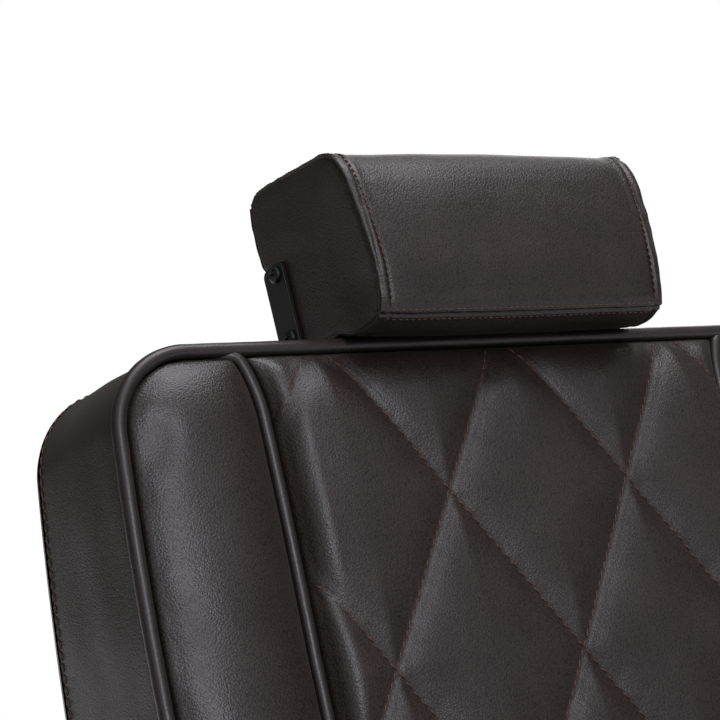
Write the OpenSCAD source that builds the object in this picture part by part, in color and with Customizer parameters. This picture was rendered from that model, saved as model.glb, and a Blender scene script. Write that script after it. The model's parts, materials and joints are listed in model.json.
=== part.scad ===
// Reclining barber chair with a hydraulic column, in millimetres.
// The floor is z = 0, the column is the Z axis and the sitter faces -Y.

/* [Floor base] */
// Diameter of the round floor plate
base_d = 600; // [540:5:680]
// Height of the plate's raised middle above the floor
base_h = 46; // [40:1:60]
// Diameter of the flat middle that carries the pump
base_flat_d = 190; // [180:2:230]
// Thickness of the cast plate
base_wall = 7; // [5:0.5:9]
// Height of the rubber ring under the rim
foot_ring_h = 8; // [5:0.5:12]
// Width of the rubber ring
foot_ring_w = 24; // [16:1:34]

/* [Pump] */
// Diameter of the pump cylinder
pump_d = 92; // [88:1:96]
// Height of the pump cylinder above the floor plate
pump_h = 270; // [240:5:300]
// Diameter of the pump's bolted flange
flange_d = 165; // [150:1:175]
// Thickness of that flange
flange_t = 10; // [7:0.5:14]
// Diameter of the lifting ram
ram_d = 60; // [50:1:68]
// Length of ram that shows when the chair is down
ram_show = 22; // [12:1:40]
// Diameter of the shroud that slides down over the pump
shroud_d = 114; // [110:1:120]
// Diameter of the shroud's flared lower edge
shroud_lip_d = 128; // [122:1:136]
// Thickness of the shroud
shroud_wall = 2; // [1.5:0.25:2.5]
// Height of the shroud's lower edge above the flange
shroud_gap = 76; // [70:1:84]
// Height of the collar on top of the pump
collar_h = 12; // [8:1:18]

/* [Pedal] */
// Height of the pedal's pivot above the floor plate
pedal_rise = 54; // [46:1:60]
// Distance from the column to the pedal's tip
pedal_reach = 345; // [320:5:380]
// Width of the pedal bar
pedal_w = 26; // [20:1:32]
// Thickness of the pedal bar
pedal_t = 9; // [7:0.5:12]
// Diameter of the pedal's pin
pedal_pin_d = 12; // [10:0.5:14]

/* [Seat] */
// Width of the seat cushion over its side bands
seat_w = 524; // [500:2:540]
// Depth of the seat cushion from front to back
seat_depth = 478; // [450:2:500]
// Place of the cushion's rear edge behind the column
seat_rear = 178; // [172:1:182]
// Height of the side bands of the seat
seat_band_h = 96; // [88:1:110]
// Radius of the seat's corners
seat_corner_r = 46; // [36:1:60]
// Height of the plywood box under the seat foam
seat_box_h = 32; // [24:1:40]
// Thickness of the seat's plywood
ply_t = 15; // [12:0.5:18]

/* [Backrest] */
// Lean of the backrest behind vertical
recline = 20; // [16:0.5:24]
// Height of the backrest's lower edge above the floor
back_low_z = 494.38; // [490:0.01:500]
// Place of the lower edge behind the column
back_low_y = 203.05; // [202:0.05:210]
// Length of the backrest along its slope
back_len = 570; // [560:2:574]
// Width of the backrest at its top edge
back_top_w = 536; // [510:2:550]
// Greatest width of the backrest
back_mid_w = 562; // [552:2:576]
// Width of the backrest at its bottom edge
back_low_w = 530; // [512:2:548]
// Radius of the backrest's corners
back_corner_r = 48; // [38:1:56]
// Thickness of the backrest near the top
back_top_t = 116; // [110:1:124]
// Greatest thickness of the backrest
back_mid_t = 134; // [128:1:150]
// Thickness of the backrest at the bottom
back_low_t = 130; // [120:1:140]
// Rise of the backrest's top edge from its front to its rear
back_top_rise = 13; // [8:0.5:16]

/* [Upholstery] */
// Width of each side bolster
bolster_w = 100; // [88:1:108]
// Width of one quilted diamond
quilt_w = 136; // [124:1:148]
// Height of one quilted diamond
quilt_h = 210; // [190:2:230]
// Depth of the quilted channels
quilt_depth = 7; // [4:0.5:9]
// Rise of the padding above the piping
crown = 16; // [12:0.5:22]
// Diameter of the piping round the edges
pipe_d = 9; // [7:0.25:10]
// Thickness of the padding behind the piping
pad_back = 22; // [18:1:26]
// Thickness of the side bands
band_t = 6.5; // [5:0.25:8]

/* [Headrest] */
// Width of the headrest pad
head_w = 226; // [200:2:240]
// Height of the headrest pad
head_h = 124; // [112:1:136]
// Depth of the headrest pad
head_depth = 119; // [108:1:130]
// Width of the headrest's steel bars
bar_w = 23.5; // [20:0.5:27]
// Thickness of those bars
bar_t = 3; // [2.5:0.25:4]
// Length of bar held inside the backrest
bar_hold = 148; // [120:2:170]
// Diameter of the heads of the headrest's screws
screw_head_d = 11; // [9:0.5:13]

/* [Arms] */
// Diameter of the arm tube
arm_d = 28; // [24:0.5:32]
// Wall of the arm tube
arm_wall = 2; // [1.5:0.25:3]
// Distance between the two arm tubes, centre to centre
arm_span = 604; // [590:2:620]
// Height of the arm tube's top run
arm_z = 700; // [680:2:720]
// Radius of the arm tube's bends
arm_bend_r = 62; // [50:1:72]
// Width of the arm pads
arm_pad_w = 76; // [66:1:78]
// Length of the arm pads
arm_pad_len = 390; // [350:2:400]
// Height of the arm pads
arm_pad_h = 38; // [30:1:46]

/* [Seat frame] */
// Side of the square frame tube
rail = 30; // [28:0.5:34]
// Wall of the frame tube
rail_wall = 2.5; // [2:0.25:3]
// Width of the frame over its side rails
frame_w = 440; // [400:2:460]
// Distance between the two cross tubes that carry the arms
cross_gap = 300; // [270:2:310]
// Thickness of the plate on top of the column
plate_t = 8; // [6:0.5:12]
// Width of that plate
plate_w = 210; // [190:2:220]

/* [Recline linkage] */
// Distance of the recline pivot below the backrest's bottom edge
pivot_drop = 30; // [26:1:34]
// Place of the recline pivot behind the backrest's front face
pivot_back = 60; // [56:1:66]
// Length of the linkage cranks
crank = 72; // [68:1:76]
// Thickness of the steel linkage plates
link_t = 6; // [5:0.5:6.5]
// Diameter of the recline and footrest pins
pin_d = 14; // [12:0.5:15]
// Diameter of the pins that hold the strut and the link
link_pin_d = 10; // [8:0.5:11]
// Place of the linkage plates, each side of the middle
link_x = 150; // [146:1:154]
// Diameter of the gas strut
strut_d = 26; // [22:1:27]
// Diameter of the strut's rod
strut_rod_d = 10; // [8:0.5:12]

/* [Footrest] */
// Place of the footrest pivot in front of the column
foot_pivot_y = 268; // [264:1:272]
// Length of the footrest from its pivot to the plate
foot_len = 330; // [300:5:350]
// Diameter of the footrest tube
foot_tube_d = 25; // [22:0.5:28]
// Width of the aluminium foot plate
foot_plate_w = 300; // [270:5:310]
// Depth of the foot plate
foot_plate_d = 125; // [105:5:140]

/* [Recline lever] */
// Diameter of the lever's rod
lever_d = 10; // [8:0.5:12]
// Length of the lever in front of its pivot
lever_len = 150; // [130:5:170]

/* [Hidden] */
// Overrun of every cut past the face it opens
cut = 1;
// Gap between soft pieces and their neighbours
soft_gap = 0.5;
// Radial gap of running fits
run_gap = 0.05;
// Radial gap of fixed pins and bolts in their holes
fix_gap = 0.02;
// Gap between flat faces that slide past each other
side_gap = 0.5;
$fn = 48;

leather = "#4a4040";
leather_dark = "#352d2c";
chrome = "silver";
black_steel = "#242424";
plain_steel = "#8a8d90";
plywood = "burlywood";
rubber = "#1c1c1c";

// Floor base: the foot ring, the domed plate and its rim
base_r = base_d / 2;
base_flat_r = base_flat_d / 2;
rim_h = base_wall * 2;
rim_top = foot_ring_h + rim_h;
dome_drop = base_h - rim_top;
dome_steps = 20;
base_hole_r = base_flat_r * 0.3;

// Pump
pump_r = pump_d / 2;
ram_r = ram_d / 2;
pump_top = base_h + pump_h;
flange_top = base_h + flange_t;
flange_r = flange_d / 2;
flange_bolt_r = flange_t * 0.5;
flange_bolt_place = (flange_r + pump_r) / 2;
flange_bolts = 6;
bore_floor = flange_t * 1.4;
collar_gap = 3;
collar_r = shroud_d / 2 - shroud_wall - collar_gap;
ram_top = pump_top + collar_h + ram_show;
shoulder_t = 8;
spigot_r = ram_r * 0.64;
lock_ring_t = 4;
hub_h = 30;
spigot_h = hub_h + plate_t;
bearing_h = 6;
bearing_r = ram_r + shoulder_t;

// Pedal
pedal_z = base_h + pedal_rise;
pedal_pin_r = pedal_pin_d / 2;
lug_t = pedal_pin_r;
lug_r = pedal_pin_r * 2.3;
pedal_y = pump_r + lug_r + soft_gap;
pedal_slope = 2;
tread_len = 70;
tread_t = 4;
pedal_foot_w = pedal_w * 2.4;

// Column head and seat frame
hub_z = ram_top + bearing_h;
hub_r = bearing_r;
plate_z = hub_z + hub_h;
plate_len = cross_gap + rail * 1.6;
mount_bolt_r = rail / 6;
mount_x = plate_w * 0.4;
frame_z = plate_z + plate_t;
frame_top = frame_z + rail;
side_x = (frame_w - rail) / 2;
cross_y = cross_gap / 2;
rail_hole = rail - 2 * rail_wall;
frame_front = -(foot_pivot_y - rail - arm_wall * 2);
frame_rear = seat_rear + rail * 0.9;
arm_x = arm_span / 2;
arm_r = arm_d / 2;
arm_foot_t = 5;
cross_len = 2 * (arm_x - arm_r - arm_foot_t);
arm_foot_h = rail + 2 * arm_foot_t;
plug_len = rail * 0.9;
arm_bolt_r = rail / 6;

// Arms
arm_board_t = 12;
arm_board_sink = arm_r * 0.3;
arm_pad_rear = seat_rear + rail * 1.7;

// Seat cushion
seat_pipe_z = frame_top + seat_band_h;
seat_pad_back = seat_band_h - ply_t - seat_box_h;

// Upholstery edges, in the frame of a cushion: z runs down from its first edge, y runs back from its face
pipe_r = pipe_d / 2;
inner_pipe_r = pipe_r * 0.9;
band_out = 1.5;
band_in = band_t - band_out;
pad_inset = band_in + soft_gap;
band_front = pipe_r + soft_gap;
piping_gap = pipe_r + soft_gap;
quilt_cells = 5;
quilt_start = -6;
edge_roll = 44;
corner_steps = 7;
side_steps = 9;
flare = 20;
flare_reach = 162;

// Backrest
widest_v = back_len * 0.44;
thickest_v = back_len * 0.7;
rear_round = 9;
board_t = 12;
board_back = pad_back + board_t;

// Recline pivots and linkage, in the chair's frame
recline_range = 45;
half_range = recline_range / 2;
back_top_y = back_low_y + back_len * sin(recline);
back_top_z = back_low_z + back_len * cos(recline);
pivot_v = back_len + pivot_drop;
pivot_y = back_top_y - pivot_v * sin(recline) + pivot_back * cos(recline);
pivot_z = back_top_z - pivot_v * cos(recline) - pivot_back * sin(recline);
foot_z = frame_z + rail / 2;
crank_y = crank * sin(half_range);
crank_z = crank * cos(half_range);
pin_r = pin_d / 2;
link_pin_r = link_pin_d / 2;
boss_r = rail * 0.46;
eye_r = link_pin_r * 1.8;
bracket_x = link_x + link_t + side_gap;
lug_x = link_x - link_t - side_gap;
strut_eye_w = strut_rod_d * 1.3;
strut_x = link_x - link_t / 2 - side_gap - strut_eye_w / 2;
strut_z = pivot_z - (crank + crank_z) / 2;
strut_front_y = -(cross_y - rail / 2);
strut_r = strut_d / 2;
strut_rod_r = strut_rod_d / 2;
strut_eye_r = link_pin_r + (crank - crank_z) / 2 + side_gap;
strut_len = pivot_y + crank_y - strut_front_y;
strut_body = strut_len * 0.6;
link_bar_t = 5;
link_bar_x = link_x - link_t / 2 - side_gap - link_bar_t / 2;
arm_plate_v = back_len * 0.8;
hinge_flange_w = link_t * 7;
hinge_bolt_r = link_t / 2;
hinge_bolt_first = boss_r * 0.2;
hinge_bolt_step = boss_r * 2.2;

// Footrest
foot_angle = 49;
foot_tube_r = foot_tube_d / 2;
foot_x = link_x + link_t / 2 + foot_tube_r * 0.9;
foot_bend = foot_tube_d * 1.8;
foot_start = boss_r * 1.5;
foot_plate_t = 5;
foot_lip = 16;
foot_plate_tilt = 14;
foot_treads_n = 4;
foot_tread_w = 12;
foot_tread_t = 3;
foot_saddle_w = 36;
foot_saddle_x = foot_plate_w * 0.28;
foot_plate_rear = -foot_tube_r * 1.3;
foot_plate_front = foot_plate_rear - foot_plate_d;

// Recline lever
lever_r = lever_d / 2;
lever_z = frame_z + lever_d * 0.8;
lever_y = cross_y * 0.5;
lever_boss_r = lever_d * 1.1;
lever_boss_w = lever_d * 1.4;
lever_pin_r = lever_r;
lever_x = (seat_w / 2 + arm_x - arm_r) / 2;
lever_grip_r = lever_d;
lever_grip_len = lever_len * 0.5;

// Headrest
head_half = head_w / 2;
bar_top = 73;
bar_back = 47.5;
screw_gap = 43;
screw_top_drop = 7;
screw_len = 14;
head_base = pipe_r + soft_gap;
guide_wall = 2;
guide_lip = bar_w * 0.3;

// Frames of the upholstered parts, and pieces that come in pairs
module on_back() translate([0, back_top_y, back_top_z]) rotate([-recline, 0, 0]) children();
module on_seat() translate([0, seat_rear, seat_pipe_z]) rotate([-90, 0, 0]) children();
module both_sides() {
  children();
  mirror([1, 0, 0]) children();
}

// A rod of radius r along X from x0 to x1, through (y, z)
module rod_x(y, z, r, x0, x1) translate([x0, y, z]) rotate([0, 90, 0]) cylinder(r = r, h = x1 - x0);

// A box between two corners
module box(a, b) translate(a) cube(b - a);

// A plate in the YZ plane from x0 to x1, from an outline drawn in (y, z)
module plate_x(x0, x1) translate([x0, 0, 0]) rotate([90, 0, 90]) linear_extrude(x1 - x0) children();

// A round-ended bar of radius r between two points of a plane
module bar_2d(a, b, r) {
  way = b - a;
  flank = r * 0.99;
  translate(a) circle(r = r);
  translate(b) circle(r = r);
  translate(a) rotate(atan2(way[1], way[0])) translate([0, -flank]) square([norm(way), 2 * flank]);
}

// A hexagon bolt along +Z with its head below the origin
module bolt(r, len) {
  cylinder(r = r, h = len);
  translate([0, 0, -r * 1.2]) cylinder(r = r * 1.8, h = r * 1.2, $fn = 6);
}

// A rod bent in the XY plane: straight runs between the points, with round bends at them
function unit(a) = a / norm(a);
function side_of(a) = [-a[1], a[0]];
function turn_at(p, i) =
  let (a = unit(p[i] - p[i - 1]), b = unit(p[i + 1] - p[i]))
  atan2(a[0] * b[1] - a[1] * b[0], a * b);
function trim_at(p, i, bend) = i == 0 || i == len(p) - 1 ? 0 : bend * tan(abs(turn_at(p, i)) / 2);
module bent_rod(p, r, bend) {
  last = len(p) - 1;
  for (i = [0 : last - 1]) {
    way = unit(p[i + 1] - p[i]);
    from = p[i] + way * trim_at(p, i, bend);
    run = norm(p[i + 1] - p[i]) - trim_at(p, i, bend) - trim_at(p, i + 1, bend);
    translate([from[0], from[1], 0]) rotate([0, 0, atan2(way[1], way[0])]) rotate([0, 90, 0])
      cylinder(r = r, h = run);
  }
  for (i = [1 : last - 1]) {
    turn = turn_at(p, i);
    way = unit(p[i] - p[i - 1]);
    start = p[i] - way * trim_at(p, i, bend);
    centre = start + side_of(way) * bend * sign(turn);
    out = start - centre;
    first = atan2(out[1], out[0]);
    translate([centre[0], centre[1], 0]) rotate([0, 0, turn > 0 ? first : first + turn])
      rotate_extrude(angle = abs(turn)) translate([bend, 0]) circle(r = r);
  }
}

// A tube along the same run, open at its ends
module bent_tube(p, r, bend, wall) difference() {
  bent_rod(p, r, bend);
  bent_rod(p, r - wall, bend);
}

// A closed solid between two grids of points, front(i, j) and rear(i, j), with i to the right and j down.
// lean(i, j) picks the diagonal of each cell.
module grid_solid(nx, nz, front, rear, lean) {
  n = (nx + 1) * (nz + 1);
  points = concat(
    [for (j = [0 : nz], i = [0 : nx]) front(i, j)],
    [for (j = [0 : nz], i = [0 : nx]) rear(i, j)]
  );
  function f(i, j) = j * (nx + 1) + i;
  function b(i, j) = n + f(i, j);
  faces = [
    for (j = [0 : nz - 1], i = [0 : nx - 1]) each lean(i, j)
      ? [[f(i, j), f(i + 1, j), f(i, j + 1)], [f(i + 1, j), f(i + 1, j + 1), f(i, j + 1)]]
      : [[f(i, j), f(i + 1, j), f(i + 1, j + 1)], [f(i, j), f(i + 1, j + 1), f(i, j + 1)]],
    for (j = [0 : nz - 1], i = [0 : nx - 1]) each
      [[b(i + 1, j), b(i, j), b(i, j + 1)], [b(i + 1, j), b(i, j + 1), b(i + 1, j + 1)]],
    for (i = [0 : nx - 1]) each
      [[f(i + 1, 0), f(i, 0), b(i, 0)], [f(i + 1, 0), b(i, 0), b(i + 1, 0)]],
    for (i = [0 : nx - 1]) each
      [[f(i, nz), f(i + 1, nz), b(i + 1, nz)], [f(i, nz), b(i + 1, nz), b(i, nz)]],
    for (j = [0 : nz - 1]) each
      [[f(nx, j + 1), f(nx, j), b(nx, j)], [f(nx, j + 1), b(nx, j), b(nx, j + 1)]],
    for (j = [0 : nz - 1]) each
      [[f(0, j), f(0, j + 1), b(0, j + 1)], [f(0, j), b(0, j + 1), b(0, j)]]
  ];
  polyhedron(points, faces, convexity = 8);
}

// The same, with a flat back at depth y that uses only the grid's rim
module pad_solid(nx, nz, front, back, lean) {
  n = (nx + 1) * (nz + 1);
  grid = [for (j = [0 : nz], i = [0 : nx]) front(i, j)];
  points = concat(grid, [for (p = grid) [p[0], back, p[2]]]);
  function f(i, j) = j * (nx + 1) + i;
  function b(i, j) = n + f(i, j);
  faces = [
    for (j = [0 : nz - 1], i = [0 : nx - 1]) each lean(i, j)
      ? [[f(i, j), f(i + 1, j), f(i, j + 1)], [f(i + 1, j), f(i + 1, j + 1), f(i, j + 1)]]
      : [[f(i, j), f(i + 1, j), f(i + 1, j + 1)], [f(i, j), f(i + 1, j + 1), f(i, j + 1)]],
    for (i = [0 : nx - 1]) each
      [[f(i + 1, 0), f(i, 0), b(i, 0)], [f(i + 1, 0), b(i, 0), b(i + 1, 0)]],
    for (i = [0 : nx - 1]) each
      [[f(i, nz), f(i + 1, nz), b(i + 1, nz)], [f(i, nz), b(i + 1, nz), b(i, nz)]],
    for (j = [0 : nz - 1]) each
      [[f(nx, j + 1), f(nx, j), b(nx, j)], [f(nx, j + 1), b(nx, j), b(nx, j + 1)]],
    for (j = [0 : nz - 1]) each
      [[f(0, j), f(0, j + 1), b(0, j + 1)], [f(0, j), b(0, j + 1), b(0, j)]],
    for (i = [0 : nx - 1]) [b(0, 1), b(i + 1, 0), b(i, 0)],
    [b(0, 1), b(nx, 1), b(nx, 0)],
    for (j = [1 : nz - 2]) each
      [[b(nx, j), b(0, j), b(0, j + 1)], [b(nx, j), b(0, j + 1), b(nx, j + 1)]],
    [b(nx, nz - 1), b(0, nz - 1), b(0, nz)],
    for (i = [0 : nx - 1]) [b(nx, nz - 1), b(i, nz), b(i + 1, nz)]
  ];
  polyhedron(points, faces, convexity = 8);
}

// A round tube swept through points of the cushion's face, closed on itself or with flat ends
module swept_tube(p, r, sides, closed) {
  n = len(p);
  points = [for (k = [0 : n - 1]) let (
      t = closed ? unit(p[(k + 1) % n] - p[(k + n - 1) % n]) : unit(p[min(k + 1, n - 1)] - p[max(k - 1, 0)]),
      a = unit(cross(t, [0, 1, 0])),
      b = cross(a, t)
    ) for (s = [0 : sides - 1]) p[k] + r * (cos(360 * s / sides) * a + sin(360 * s / sides) * b)];
  rings = closed ? n : n - 1;
  skin = [for (k = [0 : rings - 1], s = [0 : sides - 1]) let (
      a = k * sides + s,
      b = k * sides + (s + 1) % sides,
      c = ((k + 1) % n) * sides + (s + 1) % sides,
      d = ((k + 1) % n) * sides + s
    ) each [[a, b, c], [a, c, d]]];
  ends = closed ? [] : [
    [for (s = [0 : sides - 1]) sides - 1 - s],
    [for (s = [0 : sides - 1]) (n - 1) * sides + s]
  ];
  polyhedron(points, concat(skin, ends), convexity = 8);
}

// A cushion's outline: side(v) is its half width at a distance v from its first edge, without the corners
back_side = function(v)
  v < widest_v
    ? (back_mid_w - (back_mid_w - back_top_w) * pow((widest_v - v) / widest_v, 2)) / 2
    : (back_mid_w - (back_mid_w - back_low_w) * pow((v - widest_v) / (back_len - widest_v), 2)) / 2;
seat_side = function(v) seat_w / 2 - band_out;
function corner_cut(d, r) = d >= r ? 0 : r - sqrt(max(0, r * r - (r - d) * (r - d)));
function half_at(side, v, length, r, out) =
  side(min(max(v, 0), length)) + out - corner_cut(max(0, min(v + out, length + out - v)), r + out);
function outline_vs(length, r, out) = concat(
  [for (k = [0 : corner_steps]) (r + out) * (1 - cos(90 * k / corner_steps)) - out],
  [for (k = [1 : side_steps - 1]) r + (length - 2 * r) * k / side_steps],
  [for (k = [0 : corner_steps]) length + out - (r + out) * (1 - cos(90 * (corner_steps - k) / corner_steps))]
);
function outline(side, length, r, out) =
  let (vs = outline_vs(length, r, out), n = len(vs))
  concat(
    [for (k = [0 : n - 1]) [half_at(side, vs[k], length, r, out), -vs[k]]],
    [for (k = [0 : n - 1]) [-half_at(side, vs[n - 1 - k], length, r, out), -vs[n - 1 - k]]]
  );

// The outline as a slab between two depths
module slab(side, length, r, out, y0, y1)
  translate([0, y1, 0]) rotate([90, 0, 0]) linear_extrude(y1 - y0) polygon(outline(side, length, r, out));

// Half width of the quilted panel: parallel to the side, flaring out at the first edge of a backrest
function inner_half(side, v, spread) =
  side(min(max(v, 0), back_len)) - bolster_w
  + spread * 0.45 * pow(max(0, 1 - v / flare_reach), 2)
  + spread * 0.55 * pow(max(0, 1 - v / (flare_reach * 0.31)), 2.5);

// Shares of a length that crowd towards both of its ends
function spread_share(k, n) = (1 - cos(180 * k / n)) / 2;

// Rise of a padded surface at a distance d from its edge
function roll(d) = d >= edge_roll ? 1 : sqrt(1 - pow(1 - max(0, d) / edge_roll, 2));

// Depth of the sewn channels: two crossing families of lines, deepest on the line
function to_line(a) = abs(a - round(a)) * 2;
function channel(x, v) =
  let (a = x / quilt_w, b = (v - quilt_start) / quilt_h, s = min(to_line(a + b), to_line(a - b)))
  quilt_depth * pow(1 - s, 2.5);

// The quilted middle: its grid follows the channels, so that each runs along the grid's diagonals
module quilted_panel(side, length, back, spread) {
  step_x = quilt_w / 2 / quilt_cells;
  step_v = quilt_h / 2 / quilt_cells;
  narrow = min(side(0), side(length)) - bolster_w - piping_gap - step_x * 0.3;
  cols = floor(narrow / step_x);
  nx = 2 * cols + 2;
  first = ceil((pad_inset + step_v * 0.3 - quilt_start) / step_v);
  last = floor((length - pad_inset - step_v * 0.3 - quilt_start) / step_v);
  nz = last - first + 2;
  v_at = function(j)
    j == 0 ? pad_inset : j == nz ? length - pad_inset : quilt_start + (first + j - 1) * step_v;
  x_at = function(i, v)
    let (w = inner_half(side, v, spread) - piping_gap)
    i == 0 ? -w : i == nx ? w : (i - cols - 1) * step_x;
  front = function(i, j)
    let (
      v = v_at(j),
      x = x_at(i, v),
      e = roll(inner_half(side, v, spread) - piping_gap - abs(x)) * roll(min(v, length - v) - pad_inset)
    )
    [x, -crown * e + channel(x, v) * e, -v];
  lean = function(i, j) (i - cols + j + first) % 2 != 0;
  pad_solid(nx, nz, front, back - fix_gap, lean);
}

// The smooth roll beside it, on the +X side
module bolster(side, length, r, back, spread) {
  nx = 8;
  nz = 26;
  front = function(i, j)
    let (
      v = pad_inset + (length - 2 * pad_inset) * spread_share(j, nz),
      a = inner_half(side, v, spread) + piping_gap,
      b = half_at(side, v, length, r, -pad_inset),
      s = spread_share(i, nx),
      e = pow(sin(180 * s), 0.6) * roll(min(v, length - v) - pad_inset)
    )
    [a + (b - a) * s, -crown * e, -v];
  pad_solid(nx, nz, front, back - fix_gap, function(i, j) j < nz / 2);
}

// Pipings: one round the outline and one beside the quilted panel, on the +X side
module outer_piping(side, length, r)
  swept_tube([for (p = outline(side, length, r, 0)) [p[0], 0, p[1]]], pipe_r, 8, true);
module inner_piping(side, length, spread) {
  from = piping_gap + inner_pipe_r;
  swept_tube(
    [for (k = [0 : side_steps * 2]) let (v = from + (length - 2 * from) * spread_share(k, side_steps * 2))
      [inner_half(side, v, spread), 0, -v]],
    inner_pipe_r, 6, false
  );
}

// Thickness of the backrest, and a point of its rounded rear skin moved inwards by g
function back_t(v) =
  v < thickest_v
    ? back_mid_t - (back_mid_t - back_top_t) * pow((thickest_v - v) / thickest_v, 2)
    : back_mid_t - (back_mid_t - back_low_t) * pow((v - thickest_v) / (back_len - thickest_v), 2);
function band_end(v) = back_t(v) - rear_round - soft_gap;
function raised(v) = v - back_top_rise * max(0, 1 - max(v, 0) / widest_v);
function rear_point(i, j, nx, nz, g) =
  let (
    v = band_out * -1 + g + (back_len + 2 * band_out - 2 * g) * spread_share(j, nz),
    half = half_at(back_side, v, back_len, back_corner_r, band_out - g),
    x = half * (2 * spread_share(i, nx) - 1),
    d = min(half - abs(x), min(v + band_out - g, back_len + band_out - g - v)),
    r = rear_round - g
  )
  [x, back_t(min(max(raised(v), 0), back_len)) - g - corner_cut(max(0, d), r), -raised(v)];

// Floor base: a domed round casting on a rubber ring
module base_plate() color(chrome) difference() {
  rotate_extrude($fn = 96) polygon(concat(
    [[base_hole_r, base_h], [base_flat_r, base_h]],
    [for (k = [1 : dome_steps]) let (s = k / dome_steps)
      [base_flat_r + (base_r - base_flat_r - rim_h * 0.4) * s, base_h - dome_drop * pow(s, 1.6)]],
    [for (a = [60, 30, 0]) [base_r - rim_h * 0.4 * (1 - cos(a)), rim_top - rim_h * 0.4 * (1 - sin(a))]],
    [[base_r, foot_ring_h], [base_r - foot_ring_w, foot_ring_h], [base_r - foot_ring_w, rim_top - base_wall]],
    [for (k = [dome_steps - 2 : -1 : 1]) let (s = k / dome_steps)
      [base_flat_r + (base_r - base_flat_r - rim_h * 0.4) * s, base_h - dome_drop * pow(s, 1.6) - base_wall]],
    [[base_flat_r, base_h - base_wall * 2], [base_hole_r, base_h - base_wall * 2]]
  ));
  flange_places() translate([0, 0, base_h - base_wall * 2 - cut])
    cylinder(r = flange_bolt_r + fix_gap, h = base_wall * 2 + 2 * cut);
}
module base_foot_ring() color(rubber) rotate_extrude($fn = 96) polygon([
  [base_r - foot_ring_w, foot_ring_h],
  [base_r - foot_ring_w, foot_ring_h * 0.25],
  [base_r - foot_ring_w * 0.9, 0],
  [base_r - foot_ring_w * 0.1, 0],
  [base_r, foot_ring_h * 0.25],
  [base_r, foot_ring_h]
]);
module flange_places() for (k = [0 : flange_bolts - 1])
  rotate([0, 0, 360 * (k + 0.5) / flange_bolts + 90]) translate([flange_bolt_place, 0, 0]) children();

// Pump: a cylinder on a bolted flange, with the pedal's lugs behind it
module pump_cylinder() color(black_steel) difference() {
  union() {
    translate([0, 0, base_h]) cylinder(r = flange_r, h = flange_t, $fn = 72);
    translate([0, 0, base_h]) cylinder(r = pump_r, h = pump_h, $fn = 72);
    both_sides() plate_x(pedal_w / 2 + side_gap, pedal_w / 2 + side_gap + lug_t) {
      translate([pedal_y, pedal_z]) circle(r = lug_r);
      polygon([
        [pump_r * 0.8, flange_top - flange_t * 0.5],
        [pedal_y + lug_r, flange_top - flange_t * 0.5],
        [pedal_y + lug_r, pedal_z],
        [pedal_y, pedal_z + lug_r],
        [pump_r * 0.8, pedal_z + lug_r]
      ]);
    }
  }
  translate([0, 0, base_h + bore_floor]) cylinder(r = ram_r + run_gap, h = pump_h, $fn = 72);
  rod_x(pedal_y, pedal_z, pedal_pin_r + fix_gap, -pedal_w, pedal_w);
  flange_places() translate([0, 0, base_h - cut])
    cylinder(r = flange_bolt_r + fix_gap, h = flange_t + 2 * cut);
}
module pump_flange_bolts() color(plain_steel) flange_places() translate([0, 0, flange_top]) mirror([0, 0, 1])
  bolt(flange_bolt_r, flange_t + base_wall * 1.6);
module pump_collar() color(chrome) translate([0, 0, pump_top]) rotate_extrude($fn = 72) polygon([
  [ram_r + run_gap, 0],
  [collar_r, 0],
  [collar_r, collar_h * 0.6],
  [collar_r - collar_h * 0.4, collar_h],
  [ram_r + run_gap, collar_h]
]);
module pedal_pin() color(plain_steel) {
  pin_out = pedal_w / 2 + side_gap + lug_t;
  rod_x(pedal_y, pedal_z, pedal_pin_r, -pin_out, pin_out);
  both_sides() rod_x(pedal_y, pedal_z, pedal_pin_r * 1.4, pin_out, pin_out + lug_t * 0.4);
}

// Pedal: a flat bar on the pin that widens under its rubber tread
module pedal_frame() translate([0, pedal_y, pedal_z]) rotate([-pedal_slope, 0, 0]) children();
module pump_pedal() color(chrome) {
  reach = pedal_reach - pedal_y;
  pedal_frame() difference() {
    union() {
      rod_x(0, 0, pedal_pin_r * 1.9, -pedal_w / 2, pedal_w / 2);
      box([-pedal_w / 2, 0, -pedal_t / 2], [pedal_w / 2, reach - tread_len * 0.7, pedal_t / 2]);
      translate([0, 0, -pedal_t / 2]) linear_extrude(pedal_t) polygon([
        [-pedal_w / 2, reach - tread_len * 1.3],
        [pedal_w / 2, reach - tread_len * 1.3],
        [pedal_foot_w / 2, reach - tread_len],
        [pedal_foot_w / 2, reach - pedal_t],
        [pedal_foot_w / 2 - pedal_t, reach],
        [-pedal_foot_w / 2 + pedal_t, reach],
        [-pedal_foot_w / 2, reach - pedal_t],
        [-pedal_foot_w / 2, reach - tread_len]
      ]);
    }
    rod_x(0, 0, pedal_pin_r + run_gap, -pedal_w, pedal_w);
  }
}
module pedal_tread() color(rubber) pedal_frame() {
  reach = pedal_reach - pedal_y;
  rib = tread_len / 9;
  for (k = [0 : 4])
    box([-pedal_foot_w * 0.44, reach - tread_len + rib * (2 * k - 0.5), pedal_t / 2],
      [pedal_foot_w * 0.44, reach - tread_len + rib * (2 * k + 0.5), pedal_t / 2 + tread_t]);
  box([-pedal_foot_w * 0.46, reach - tread_len * 0.97, pedal_t / 2],
    [pedal_foot_w * 0.46, reach - pedal_t * 0.5, pedal_t / 2 + tread_t * 0.4]);
}

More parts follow.
